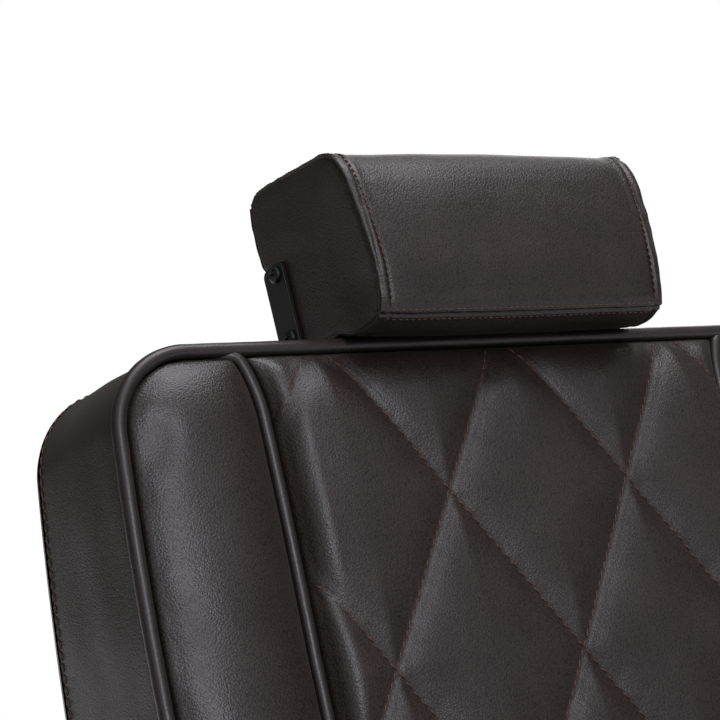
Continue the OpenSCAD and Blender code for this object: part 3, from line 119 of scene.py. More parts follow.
def sum_of(tree, operation, *terms, clamp=False):
    node = add_node(tree, "ShaderNodeMath", dict(enumerate(terms)), operation=operation, use_clamp=clamp)
    return node.outputs[0]


world = bpy.data.worlds.new("studio")
bpy.context.scene.world = world
tree = shader_nodes(world)
direction = add_node(tree, "ShaderNodeTexCoord").outputs["Generated"]
toward = add_node(tree, "ShaderNodeVectorMath", {0: direction, 1: brightest_toward}, operation="DOT_PRODUCT")
dome = add_node(tree, "ShaderNodeMapRange", {
    "Value": toward.outputs["Value"],
    "From Min": 0.2,
    "From Max": 1.0,
    "To Min": surround_dim,
    "To Max": 1.0,
}, interpolation_type="SMOOTHSTEP").outputs[0]
rays = add_node(tree, "ShaderNodeLightPath").outputs
mirrored = sum_of(tree, "MAXIMUM", rays["Is Glossy Ray"], rays["Is Transmission Ray"])
lit = sum_of(tree, "MULTIPLY", dome, surround_level)
level = sum_of(tree, "MAXIMUM", lit, sum_of(tree, "MULTIPLY", dome, mirrored))
level = sum_of(tree, "MAXIMUM", level, rays["Is Camera Ray"])
background = add_node(tree, "ShaderNodeBackground", {"Color": (1, 1, 1, 1), "Strength": level})
add_node(tree, "ShaderNodeOutputWorld", {0: background.outputs[0]})

floor_mesh = bpy.data.meshes.new("studio_floor")
floor_mesh.from_pydata(
    [(x * floor_half, y * floor_half, 0) for x, y in ((-1, -1), (1, -1), (1, 1), (-1, 1))],
    [],
    [(0, 1, 2, 3)],
)
floor = bpy.data.objects.new("studio_floor", floor_mesh)
bpy.context.scene.collection.objects.link(floor)
floor_paint = bpy.data.materials.new("studio_floor")
tree = shader_nodes(floor_paint)
matt = add_node(tree, "ShaderNodeBsdfPrincipled", {
    "Base Color": (0.86, 0.86, 0.86, 1),
    "Roughness": 0.75,
    "Specular IOR Level": 0.15,
})
rays = add_node(tree, "ShaderNodeLightPath").outputs
seen = sum_of(tree, "MAXIMUM", rays["Is Camera Ray"], rays["Is Glossy Ray"])
seen = sum_of(tree, "MAXIMUM", seen, rays["Is Transmission Ray"])
glow = add_node(tree, "ShaderNodeEmission", {"Strength": sum_of(tree, "MULTIPLY", seen, floor_glow)})
both = add_node(tree, "ShaderNodeAddShader", {0: matt.outputs[0], 1: glow.outputs[0]})
spot = add_node(tree, "ShaderNodeTexCoord").outputs["Object"]
fade = add_node(tree, "ShaderNodeMapRange", {
    "Value": add_node(tree, "ShaderNodeVectorMath", {0: spot}, operation="LENGTH").outputs["Value"],
    "From Min": floor_shaded_to,
    "From Max": floor_white_from,
}, interpolation_type="SMOOTHSTEP")
white = add_node(tree, "ShaderNodeEmission", {"Strength": 1.0})
ground = add_node(tree, "ShaderNodeMixShader", {
    0: sum_of(tree, "MULTIPLY", fade.outputs[0], seen),
    1: both.outputs[0],
    2: white.outputs[0],
})
add_node(tree, "ShaderNodeOutputMaterial", {0: ground.outputs[0]})
floor_mesh.materials.append(floor_paint)

for name, place, aim, size, power in (
    ("lamp_front", (-0.6, -2.2, 2.6), (0, 0.25, 0.8), 1.0, 34),
    ("lamp_overhead", (0.4, 0.2, 3.2), (0, 0.25, 0.7), 1.5, 42),
    ("lamp_behind", (2.4, 2.6, 2.4), (0, 0.1, 0.7), 1.8, 16),
):
    lamp_data = bpy.data.lights.new(name, "AREA")
    lamp_data.shape = "SQUARE"
    lamp_data.size = size
    lamp_data.energy = power
    lamp = bpy.data.objects.new(name, lamp_data)
    lamp.location = place
    lamp.rotation_euler = (Vector(aim) - Vector(place)).to_track_quat("-Z", "Y").to_euler()
    bpy.context.scene.collection.objects.link(lamp)

# Quilted middle of the backrest
# One hide of soft coated leather over foam, sewn through in crossing rows that leave tall diamonds and
# rolled over at its edges under the pipings; the board behind carries it. A cloth under pressure, held
# along the seams, swells the hide between them.
MM = 0.001
recline = math.radians(20)
back_top_y = 398
back_top_z = 1030
back_len = 570
back_widths = (536, 562, 530)
widest_down = 0.44 * back_len
bolster_w = 100
flare = 20
flare_reach = 162
piping_gap = 5.0
pad_inset = 5.5
crown = 16
quilt_crown = 20
edge_roll = 44
side_roll = 16
quilt_w = 136
quilt_h = 210
quilt_start = -6
quilt_dip = 2.5
pillow_dip = 4.2
pillow_edge = 9
thread_dip = 1.3
thread_reach = 2.6
pucker = 0.45
pucker_reach = 6
pucker_size = 13
wave = 0.5
wave_size = 70
cells_per_half = 26
quilt_border = 9
border_rows = 7
border_cols = 18
pad_back = 22
back_corner_r = 48


def back_place(x, behind, down):
    x, behind, down = np.broadcast_arrays(x, behind, down)
    y = back_top_y - down * math.sin(recline) + behind * math.cos(recline)
    z = back_top_z - down * math.cos(recline) - behind * math.sin(recline)
    return np.stack((x, y, z), axis=-1) * MM


def back_half(down):
    top, middle, low = back_widths
    upper = middle - (middle - top) * ((widest_down - down) / widest_down) ** 2
    lower = middle - (middle - low) * ((down - widest_down) / (back_len - widest_down)) ** 2
    return np.where(down < widest_down, upper, lower) / 2


def back_spot(points):
    # where points given in metres lie on the backrest: across, behind its front plane and down it
    x, y, z = (points / MM).T
    y, z = y - back_top_y, z - back_top_z
    behind = y * math.cos(recline) - z * math.sin(recline)
    down = -y * math.sin(recline) - z * math.cos(recline)
    return x, behind, down


def back_inner_half(down):
    inside = np.clip(down, 0, back_len)
    slow = 0.45 * np.maximum(0, 1 - down / flare_reach) ** 2
    quick = 0.55 * np.maximum(0, 1 - down / (flare_reach * 0.31)) ** 2.5
    return back_half(inside) - bolster_w + flare * (slow + quick)


# What a quilted cushion is to the functions below: its name, the two ways between its own measures and
# the frame, its half widths, length and corner, how far back its padding goes, and its body
Cushion = namedtuple("Cushion", "name place spot_of half inner_half length radius pad_back body")
back_cushion = Cushion(
    "back", back_place, back_spot, back_half, back_inner_half, back_len, back_corner_r, pad_back, "backrest")


def roll(distance, reach=edge_roll):
    return np.sqrt(1 - (1 - np.clip(distance, 0, reach) / reach) ** 2)


def ripple(u, v, size, seed):
    dice = np.random.default_rng(seed)
    total = 0
    for _ in range(8):
        turn = dice.uniform(0, 2 * math.pi)
        span = size * dice.uniform(0.7, 1.5)
        along = u * math.cos(turn) + v * math.sin(turn)
        total = total + np.sin(along * 2 * math.pi / span + dice.uniform(0, 6.28))
    return total / 4


def to_row(share):
    return np.abs(share - np.round(share)) * 2


def quilt_dent(x, down, seed):
    a = x / quilt_w
    b = (down - quilt_start) / quilt_h
    slope = math.hypot(quilt_w, quilt_h)
    spacing = quilt_w * quilt_h / slope / 2
    total = 0
    nearest = np.minimum(to_row(a + b), to_row(a - b))
    for rows, along in (
        (a + b, (x * quilt_w - down * quilt_h) / slope),
        (a - b, (x * quilt_w + down * quilt_h) / slope),
    ):
        distance = to_row(rows) * spacing
        total = total + np.exp(-distance / pucker_reach) * ripple(
            along, distance * 0.4, pucker_size, seed)
    far = nearest * spacing
    return (quilt_dip * (1 - nearest) ** 2 + pillow_dip * np.exp(-far / pillow_edge)
        + thread_dip * np.exp(-far / thread_reach) + pucker * total)


def quilt_behind(cushion, x, down, seed):
    width = cushion.inner_half(down) - piping_gap
    from_end = np.minimum(down, cushion.length - down) - pad_inset
    rise = roll(width - np.abs(x), side_roll) * roll(from_end)
    waves = wave * rise * ripple(x, down, wave_size, seed + 1)
    return -quilt_crown * rise + quilt_dent(x, down, seed) * rise + waves


def grid_faces(rows, cols, lean=None):
    i, j = np.meshgrid(np.arange(rows - 1), np.arange(cols - 1), indexing="ij")
    a = (i * cols + j).ravel()
    b, c, d = a + 1, a + cols + 1, a + cols
    if lean is None:
        return np.stack((a, d, c, b), axis=-1).tolist()
    lean = lean.ravel()
    first = np.where(lean[:, None], np.stack((a, d, b), -1), np.stack((a, d, c), -1))
    second = np.where(lean[:, None], np.stack((b, d, c), -1), np.stack((a, c, b), -1))
    return np.concatenate((first, second)).tolist()


def make_piece(name, points, faces, material, body, flip=False):
    if flip:
        faces = [face[::-1] for face in faces]
    mesh = bpy.data.meshes.new(name)
    mesh.from_pydata(np.asarray(points).reshape(-1, 3).tolist(), [], faces)
    mesh.materials.append(material)
    mesh.shade_smooth()
    mesh.update()
    piece = bpy.data.objects.new(name, mesh)
    bpy.context.scene.collection.objects.link(piece)
    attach(piece, body)
    return piece


def rim_of(rows, cols):
    # the numbers of the points on a grid's border, once round
    return np.concatenate((
        np.arange(cols),
        np.arange(1, rows) * cols + cols - 1,
        (rows - 1) * cols + np.arange(cols - 2, -1, -1),
        np.arange(rows - 2, 0, -1) * cols,
    ))


def closed_pad(cushion, name, hand, x, behind, v, faces):
    # closes a crowned face with straight sides and a flat underside
    rim = rim_of(*x.shape)
    points = cushion.place(hand * x, behind, v).reshape(-1, 3)
    skirt = cushion.place(hand * x.ravel()[rim], np.full(len(rim), cushion.pad_back), v.ravel()[rim])
    total, count = len(points), len(rim)
    for k in range(count):
        following = (k + 1) % count
        faces.append([int(rim[k]), int(rim[following]), total + following, total + k])
    faces.append([total + k for k in range(count)])
    points = np.concatenate((points, skirt))
    piece = make_piece(cushion.name + name, points, faces, brown_leather, cushion.body, flip=hand < 0)
    return piece


def quilted_piece(cushion, seed):
    length = cushion.length
    step_x = quilt_w / 2 / cells_per_half
    step_v = quilt_h / 2 / cells_per_half
    narrow = min(cushion.inner_half(np.array([0.3, 0.5, 1]) * length - (0, 0, pad_inset))) - piping_gap
    cols = int((narrow - quilt_border) // step_x)
    first = math.ceil((pad_inset + quilt_border - quilt_start) / step_v)
    last = math.floor((length - pad_inset - quilt_border - quilt_start) / step_v)
    down = quilt_start + step_v * np.arange(first, last + 1)
    border = 1 - np.cos(np.radians(90 * np.arange(border_rows) / border_rows))
    down = np.concatenate((
        pad_inset + (down[0] - pad_inset) * border,
        down,
        length - pad_inset - (length - pad_inset - down[-1]) * border[::-1],
    ))
    width = cushion.inner_half(down) - piping_gap
    across = step_x * np.arange(-cols, cols + 1)
    side_border = 1 - np.cos(np.radians(90 * np.arange(border_cols) / border_cols))
    rim = width[:, None] - (width[:, None] - cols * step_x) * side_border[None, :]
    x = np.concatenate((-rim, np.broadcast_to(across, (len(down), len(across))), rim[:, ::-1]), axis=1)
    v = np.broadcast_to(down[:, None], x.shape)
    behind = quilt_behind(cushion, x, v, seed)
    middle_x = (x[:-1, :-1] + x[1:, 1:]) / 2
    middle_v = (v[:-1, :-1] + v[1:, 1:]) / 2
    a = middle_x / quilt_w
    b = (middle_v - quilt_start) / quilt_h
    faces = grid_faces(*x.shape, to_row(a + b) < to_row(a - b))
    piece = closed_pad(cushion, "_quilted_hide", 1, x, behind, v, faces)
    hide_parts(cushion.name + "_quilted_panel")
    swell_hide(piece, quilt_held(cushion), 1.5, 6)


def points_of(mesh):
    flat = np.empty(len(mesh.vertices) * 3, dtype=np.float32)
    mesh.vertices.foreach_get("co", flat)
    return flat.reshape(-1, 3).astype(float)


# The cloth: how finely the copy is meshed, how stiff and heavy it is, and how its travel is carried
cloth_voxel = 6.0
cloth_blur = 7.0
cloth_pressure = 4.0
cloth_mass = 0.3
cloth_stretch = 20
cloth_shear = 10
cloth_bend = 6
cloth_frames = 20
carried_by = 14
hold_steps = 10
held_near_row = 3.2
held_behind = -7
held_over = 5


def copy_of_result(item):
    return bpy.data.meshes.new_from_object(item.evaluated_get(bpy.context.evaluated_depsgraph_get()))


def swell_hide(piece, held, start_in, reach):
    # The cloth runs on a remeshed copy of the piece that starts a little smaller, and its travel, cut
    # off at reach, goes to the fine mesh where held is below one.
    scene = bpy.context.scene
    fine = points_of(piece.data)
    normals = np.empty(len(fine) * 3, dtype=np.float32)
    piece.data.vertices.foreach_get("normal", normals)
    free = 1 - np.clip(held(fine), 0, 1)
    fine = fine - normals.reshape(-1, 3) * (start_in * MM * free)[:, None]
    piece.data.vertices.foreach_set("co", fine.ravel())
    piece.data.update()
    copy = bpy.data.objects.new("cloth_copy", piece.data.copy())
    scene.collection.objects.link(copy)
    remesh = copy.modifiers.new("remesh", "REMESH")
    remesh.mode = "VOXEL"
    remesh.voxel_size = cloth_voxel * MM
    shell = copy_of_result(copy)
    copy.modifiers.clear()
    copy.data = shell
    start = points_of(shell)
    hold = np.clip(held(start), 0, 1)
    pins = copy.vertex_groups.new(name="held")
    for step in range(1, hold_steps + 1):
        chosen = np.flatnonzero(np.round(hold * hold_steps).astype(int) == step).tolist()
        if chosen:
            pins.add(chosen, step / hold_steps, "REPLACE")
    cloth = copy.modifiers.new("cloth", "CLOTH")
    for key, value in (
        ("quality", 5),
        ("mass", cloth_mass),
        ("tension_stiffness", cloth_stretch),
        ("compression_stiffness", cloth_stretch),
        ("shear_stiffness", cloth_shear),
        ("bending_stiffness", cloth_bend),
        ("use_pressure", True),
        ("uniform_pressure_force", cloth_pressure),
        ("vertex_group_mass", "held"),
    ):
        setattr(cloth.settings, key, value)
    cloth.settings.effector_weights.gravity = 0
    cloth.collision_settings.use_collision = False
    cloth.point_cache.frame_start = 1
    cloth.point_cache.frame_end = cloth_frames
    for number in range(1, cloth_frames + 1):
        scene.frame_set(number)
    moved = copy_of_result(copy)
    travel = points_of(moved) - start
    length = np.linalg.norm(travel, axis=1)
    travel = travel * np.minimum(1, reach * MM / np.maximum(length, 1e-9))[:, None]
    bpy.data.objects.remove(copy)
    tree = KDTree(len(start))
    for number, spot in enumerate(start):
        tree.insert(spot, number)
    tree.balance()
    carried = np.zeros_like(fine)
    for number, spot in enumerate(fine):
        if free[number] < 0.01:
            continue
        near = tree.find_n(spot, carried_by)
        weight = np.array([math.exp(-(found[2] / cloth_blur / MM) ** 2) + 1e-6 for found in near])
        carried[number] = weight @ travel[[found[1] for found in near]] / weight.sum()
    fine = fine + carried * free[:, None]
    piece.data.vertices.foreach_set("co", fine.ravel())
    piece.data.update()
    scene.frame_set(1)


def group_of(name, inputs, outputs):
    group = bpy.data.node_groups.new(name, "ShaderNodeTree")
    for label, kind, value in inputs:
        socket = group.interface.new_socket(label, in_out="INPUT", socket_type=kind)
        socket.default_value = value
    for label, kind in outputs:
        group.interface.new_socket(label, in_out="OUTPUT", socket_type=kind)
    return group, add_node(group, "NodeGroupInput").outputs, add_node(group, "NodeGroupOutput")


def object_spot(tree):
    return add_node(tree, "ShaderNodeTexCoord").outputs["Object"]


def noise(tree, vector, scale, detail=2, **more):
    values = {"Vector": vector, "Scale": scale, "Detail": detail, **more}
    return add_node(tree, "ShaderNodeTexNoise", values).outputs


def bump(tree, height, depth_mm, **more):
    values = {"Distance": depth_mm * MM, "Height": height, **more}
    return add_node(tree, "ShaderNodeBump", values).outputs[0]


def blend(tree, share, first, second):
    node = add_node(tree, "ShaderNodeMix", {"Factor": share, "A": first, "B": second}, data_type="RGBA")
    return node.outputs["Result"]


def new_material(name):
    material = bpy.data.materials.new(name)
    return material, shader_nodes(material)


def end_material(tree, values):
    skin = add_node(tree, "ShaderNodeBsdfPrincipled", values)
    add_node(tree, "ShaderNodeOutputMaterial", {0: skin.outputs[0]})


# The grain: pebbles about a millimetre across, pulled a little out of round, over slow creases
leather_grain, given, result = group_of(
    "leather grain",
    [("Pebbles per metre", "NodeSocketFloat", 620.0), ("Dark", "NodeSocketColor", (0.02, 0.014, 0.013, 1)),
        ("Light", "NodeSocketColor", (0.03, 0.022, 0.021, 1)), ("Roughness", "NodeSocketFloat", 0.42)],
    [("Colour", "NodeSocketColor"), ("Roughness", "NodeSocketFloat"), ("Pebble height", "NodeSocketFloat"),
        ("Crease height", "NodeSocketFloat")],
)
spot = object_spot(leather_grain)
warp = noise(leather_grain, spot, 420)["Color"]
shift_values = {0: warp, 1: (0.0006, 0.0006, 0.0006), 2: spot}
shift = add_node(leather_grain, "ShaderNodeVectorMath", shift_values, operation="MULTIPLY_ADD")
pebbles = add_node(leather_grain, "ShaderNodeTexVoronoi", {
    "Vector": shift.outputs[0],
    "Scale": given["Pebbles per metre"],
    "Smoothness": 0.35,
}, feature="SMOOTH_F1")
fine = noise(leather_grain, spot, 2600, 3)["Fac"]
slow = noise(leather_grain, spot, 28, 4, Distortion=0.6)["Fac"]
dome_height = sum_of(leather_grain, "SUBTRACT", 1.0, pebbles.outputs["Distance"], clamp=True)
ground_tone = sum_of(leather_grain, "MULTIPLY_ADD", slow, 0.4, -0.5)
# the colour follows the pebbles: darker in the valleys between them and lighter on their tops, partly the
# hide's own grain tone and partly painted shade in the valleys
patch = sum_of(leather_grain, "MULTIPLY_ADD", dome_height, 1.3, ground_tone)
rub = sum_of(leather_grain, "SUBTRACT", slow, 0.5)
feed(leather_grain, result, {
    "Colour": blend(leather_grain, patch, given["Dark"], given["Light"]),
    "Roughness": sum_of(leather_grain, "MULTIPLY_ADD", rub, 0.22, given["Roughness"]),
    "Pebble height": sum_of(leather_grain, "MULTIPLY_ADD", fine, 0.22, dome_height),
    "Crease height": slow,
})


def leather(name, dark, light, roughness, pebbles_per_metre=820, pebble_mm=0.17, crease_mm=0.15,
        gloss=0.42, glint=(0.9, 0.92, 1.0)):
    material, tree = new_material(name)
    grain = add_node(tree, "ShaderNodeGroup", {
        "Pebbles per metre": pebbles_per_metre,
        "Dark": (*dark, 1),
        "Light": (*light, 1),
        "Roughness": roughness,
    }, node_tree=leather_grain).outputs
    creases = bump(tree, grain["Crease height"], crease_mm)
    end_material(tree, {
        "Base Color": grain["Colour"],
        "Roughness": grain["Roughness"],
        "Normal": bump(tree, grain["Pebble height"], pebble_mm, Normal=creases),
        "Specular IOR Level": gloss,
        "Specular Tint": (*glint, 1),
        "Sheen Weight": 0.03,
        "Sheen Roughness": 0.5,
    })
    return material


brown_leather = leather("brown_leather", (0.0105, 0.0054, 0.0049), (0.0365, 0.0216, 0.0207), 0.38)
flat_leather = leather(
    "flat_leather", (0.0125, 0.0056, 0.0047), (0.036, 0.0195, 0.0175), 0.4,
    pebble_mm=0.11, crease_mm=0.1, gloss=0.36)


def held_low(cushion):
    # held from the depth where the hide goes down under the pipings
    return lambda points: np.clip((cushion.spot_of(points)[1] - held_behind) / held_over, 0, 1)


def quilt_held(cushion):
    def held(points):
        x, _, down = cushion.spot_of(points)
        a, b = x / quilt_w, (down - quilt_start) / quilt_h
        spacing = quilt_w * quilt_h / math.hypot(quilt_w, quilt_h) / 2
        far = np.minimum(to_row(a + b), to_row(a - b)) * spacing
        return np.maximum(np.exp(-(far / held_near_row) ** 2), held_low(cushion)(points))
    return held


quilted_piece(back_cushion, 11)

# Rows of stitches across the backrest
# Rust-brown bonded thread in a straight lockstitch: each stitch lies in the bottom of a sewn row,
# dips into its needle hole at both ends and slants a little against the row.
stitch_pitch = 7.0
stitch_len = 5.9
thread_r = 0.5
slope_step = 9


def thread_finish():
    material, tree = new_material("rust_thread")
    twist = noise(tree, object_spot(tree), 900)["Fac"]
    end_material(tree, {
        "Base Color": blend(tree, twist, (0.032, 0.010, 0.007, 1), (0.085, 0.030, 0.020, 1)),
        "Roughness": 0.6,
        "Normal": bump(tree, twist, 0.15),
    })
    return material


rust_thread = thread_finish()


def distance_along(path):
    return np.concatenate(([0], np.cumsum(np.linalg.norm(np.diff(path, axis=0), axis=1))))


def at_distance(at, travel, path):
    return np.stack([np.interp(at, travel, path[:, k]) for k in range(path.shape[1])], axis=-1)


def unit(vectors):
    return vectors / np.linalg.norm(vectors, axis=-1)[..., None]


def ring_faces(base, rings, sides, closed=False, capped=True):
    # the faces between rings of points that follow each other from number base on
    size = rings * sides
    faces = []
    for k in range(rings if closed else rings - 1):
        for s in range(sides):
            a, b = k * sides + s, k * sides + (s + 1) % sides
            faces.append([base + a, base + b, base + (b + sides) % size, base + (a + sides) % size])
    if capped and not closed:
        faces.append([base + s for s in range(sides)][::-1])
        faces.append([base + size - sides + s for s in range(sides)])
    return faces


def sewn_rows(name, rows, body, radius=thread_r, length=stitch_len, pitch=stitch_pitch, slant=0.12):
    # each row is a path on the skin and the skin's outward direction along it, both in metres
    ring, sides = 5, 6
    points, faces = [], []
    turns = np.arange(sides) * 2 * math.pi / sides
    swell = np.array([0.55, 1.0, 1.08, 1.0, 0.55]) * radius * MM
    lift = np.array([-0.7, 0.45, 0.75, 0.45, -0.7]) * radius * MM
    for path, outward in rows:
        travel = distance_along(path)
        count = max(1, int(travel[-1] // (pitch * MM)))
        starts = np.arange(count) * (pitch * MM) + (travel[-1] - count * (pitch * MM)) / 2
        for start in starts:
            at = start + np.linspace(0, length * MM, ring)
            if at[-1] > travel[-1]:
                continue
            middle = at_distance(at, travel, path)
            up = unit(at_distance(at, travel, outward))
            way = middle[-1] - middle[0]
            way = way / np.linalg.norm(way)
            side = np.cross(up, way)
            lean = np.linspace(-0.5, 0.5, ring) * slant * length * MM
            middle = middle + up * lift[:, None] + side * lean[:, None]
            faces += ring_faces(len(points), ring, sides)
            for k in range(ring):
                for turn in turns:
                    points.append(middle[k] + swell[k] * (math.cos(turn) * side[k] + math.sin(turn) * up[k]))
    make_piece(name, points, faces, rust_thread, body)


def sew_quilt(cushion, seed):
    rows = []
    down = np.arange(pad_inset + 1.5, cushion.length - pad_inset - 1.5, 1.5)
    for family in (1, -1):
        for number in range(-6, 7):
            x = family * (number - (down - quilt_start) / quilt_h) * quilt_w
            inside = np.abs(x) < cushion.inner_half(down) - piping_gap - 1
            edges = np.flatnonzero(np.diff(np.concatenate(([0], inside.astype(int), [0]))))
            for first, last in zip(edges[::2], edges[1::2]):
                if last - first < 6:
                    continue
                px, pv = x[first:last], down[first:last]
                behind_at = lambda dx, dv: quilt_behind(cushion, px + dx, pv + dv, seed)
                behind = behind_at(0, 0)
                path = cushion.place(px, behind - 0.15, pv)
                rise_x = (behind_at(slope_step, 0) - behind_at(-slope_step, 0)) / (2 * slope_step)
                rise_v = (behind_at(0, slope_step) - behind_at(0, -slope_step)) / (2 * slope_step)
                tip = cushion.place(px + np.nan_to_num(rise_x), behind - 1.15, pv + np.nan_to_num(rise_v))
                rows.append((path, unit(tip - path)))
    sewn_rows(cushion.name + "_quilt_stitches", rows, cushion.body)


sew_quilt(back_cushion, 11)

# Rolls beside the quilted middle
# A foam roll on each side of the sitter under its own strip of hide, crowned across and drawn down
# along both pipings, where the sewing puckers it a little; the outer top corner follows the back's.
roll_cols = 34
roll_rows = 170
corner_dent = 2.6


def crowded(count, pull=1.0):
    # steps from 0 to 1 that lie closer together at both ends
    even = np.arange(count + 1) / count
    return pull * ((1 - np.cos(math.pi * np.arange(count + 1) / count)) / 2) + round(1 - pull, 9) * even


def corner_cut(distance, radius):
    inside = np.clip(distance, 0, radius)
    return radius - np.sqrt(np.maximum(0, radius * radius - (radius - inside) ** 2))


def half_at(cushion, down, out):
    inside = np.clip(down, 0, cushion.length)
    from_end = np.minimum(down + out, cushion.length + out - down)
    return cushion.half(inside) + out - corner_cut(from_end, cushion.radius + out)


def roll_piece(cushion, hand, word, seed):
    length = cushion.length
    down = pad_inset + (length - 2 * pad_inset) * crowded(roll_rows, 0.35)
    s = crowded(roll_cols)
    a = cushion.inner_half(down) + piping_gap
    b = half_at(cushion, down, -pad_inset)
    x = a[:, None] + (b - a)[:, None] * s[None, :]
    v = np.broadcast_to(down[:, None], x.shape)
    rise = np.sin(math.pi * np.broadcast_to(s, x.shape)) ** 0.42 * roll(np.minimum(v, length - v) - pad_inset)
    near_edge = np.exp(-np.minimum(x - a[:, None], b[:, None] - x) / 9)
    behind = (-crown * rise + 0.7 * rise * ripple(x, v, 75, seed)
        + 0.55 * near_edge * np.sqrt(rise) * ripple(v, x * 0.3, 15, seed + 1)
        + corner_dent * np.exp(
            -((b[:, None] - x - 13) / 10) ** 2 - ((v - x * 0.35 + 0.35 * b[:, None] - 62) / 17) ** 2))
    piece = closed_pad(cushion, "_roll_" + word, hand, x, behind, v, grid_faces(*x.shape))
    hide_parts(cushion.name + "_bolster_" + word)
    swell_hide(piece, held_low(cushion), 1.5, 5)


for hand, word in ((1, "right"), (-1, "left")):
    roll_piece(back_cushion, hand, word, 21)

# Pipings of the backrest
# A cord in a bias-cut strip of smoother, evenly dark hide: one runs round the whole edge between face
# and side band, and one runs down each side of the quilted middle and turns out into it at the top.
piping_r = 4.5
inner_piping_r = 4.05
piping_sides = 20
outline_pitch = 3.2
piping_leather = leather("piping_leather", (0.0155, 0.0082, 0.0082), (0.026, 0.015, 0.0155), 0.38,
    pebbles_per_metre=900, pebble_mm=0.05, crease_mm=0.25, gloss=0.45)


def outline_path(cushion, pitch=outline_pitch):
    length, radius = cushion.length, cushion.radius
    turn = radius * (1 - np.cos(np.radians(90 * np.arange(33) / 32)))
    straight = radius + (length - 2 * radius) * np.arange(1, 160) / 160
    down = np.concatenate((turn, straight, length - turn[::-1]))
    half = half_at(cushion, down, 0)
    loop = np.concatenate((np.stack((half, down), -1), np.stack((-half[::-1], down[::-1]), -1)))
    loop = np.concatenate((loop, loop[:1]))
    travel = distance_along(loop)
    count = int(travel[-1] // pitch)
    return at_distance(np.arange(count) * travel[-1] / count, travel, loop)


def tube_mesh(path, radius, closed, seed):
    # path is in the cushion's own millimetres: across, behind, down, and so are the points
    if closed:
        way = unit(np.roll(path, -1, axis=0) - np.roll(path, 1, axis=0))
    else:
        way = unit(np.gradient(path, axis=0))
    up = np.array([0.0, -1.0, 0.0])
    up = unit(up - way * (way @ up)[:, None])
    side = np.cross(way, up)
    turn = np.arange(piping_sides) * 2 * math.pi / piping_sides
    around = 9 * np.sin(turn)[None, :] + 9 * np.cos(turn)[None, :]
    reach = radius * (1 + 0.018 * ripple(distance_along(path)[:, None], around, 16, seed))
    ring = (path[:, None, :] + reach[:, :, None] * (np.cos(turn)[None, :, None] * up[:, None, :]
        + np.sin(turn)[None, :, None] * side[:, None, :]))
    return ring.reshape(-1, 3), ring_faces(0, len(path), piping_sides, closed)


def piping_piece(cushion, name, points, faces, replaced):
    piece = make_piece(cushion.name + name, cushion.place(*points.T), faces, piping_leather, cushion.body)
    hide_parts(cushion.name + replaced)


def edge_piping(cushion, seed):
    loop = outline_path(cushion)
    path = np.stack((loop[:, 0], np.zeros(len(loop)), loop[:, 1]), axis=-1)
    piping_piece(cushion, "_edge_piping", *tube_mesh(path, piping_r, True, seed), "_piping")


def inner_pipings(cushion, seed):
    margin = piping_gap + inner_piping_r
    down = margin - 3 + (cushion.length - 2 * margin + 6) * crowded(180, 0.5)
    all_points, all_faces = [], []
    lead = np.arange(10, 0, -1) / 10
    for hand in (1, -1):
        path = np.stack((hand * cushion.inner_half(down), np.zeros(len(down)), down), axis=-1)
        start = np.stack((
            hand * (cushion.inner_half(down[0]) + 19 * lead**1.25),
            7 * lead**1.7,
            down[0] - 4.5 * np.sin(lead * math.pi / 2),
        ), axis=-1)
        points, faces = tube_mesh(np.concatenate((start, path[1:])), inner_piping_r, False, seed)
        base = sum(len(part) for part in all_points)
        all_faces += [[base + k for k in face] for face in faces]
        all_points.append(points)
    piping_piece(cushion, "_roll_pipings", np.concatenate(all_points), all_faces, "_inner_pipings")


edge_piping(back_cushion, 31)
inner_pipings(back_cushion, 32)

# Side band of the backrest
# A strip of hide over thin foam, sewn to the edge piping and to the rear panel. It swells slightly
# between its seams and has slots for the headrest's bars and, below, for the hinge arms.
band_out = 1.5
band_front = 3.0
band_turned_in = 4
rear_round = 9
top_rise = 13
back_depths = (116, 134, 130)
thickest_down = 0.7 * back_len
band_rows = 30
bar_slots = (112.7, 116.8, 35.1, 59.9)
arm_slots = (146.4, 153.6, 33.4, 104.5)


def back_depth(down):
    top, middle, low = back_depths
    inside = np.clip(down, 0, back_len)
    upper = middle - (middle - top) * ((thickest_down - inside) / thickest_down) ** 2
    lower = middle - (middle - low) * ((inside - thickest_down) / (back_len - thickest_down)) ** 2
    return np.where(inside < thickest_down, upper, lower)


def back_rise(down):
    return top_rise * np.maximum(0, 1 - np.maximum(down, 0) / widest_down)


def no_rise(down):
    return np.zeros(np.shape(down))


def outward_of(loop):
    way = unit(np.roll(loop, -1, axis=0) - np.roll(loop, 1, axis=0))
    return np.stack((way[:, 1], -way[:, 0]), axis=-1)


def snap_across(loop, level, places):
    # moves the loop's points along a straight edge so that some fall exactly on the wanted places
    flat = np.abs(loop[:, 1] - level) < 1e-6
    for place in places:
        for hand in (1, -1):
            near = np.where(flat, np.abs(loop[:, 0] - hand * place), 1e9).argmin()
            loop[near, 0] = hand * place
    return loop


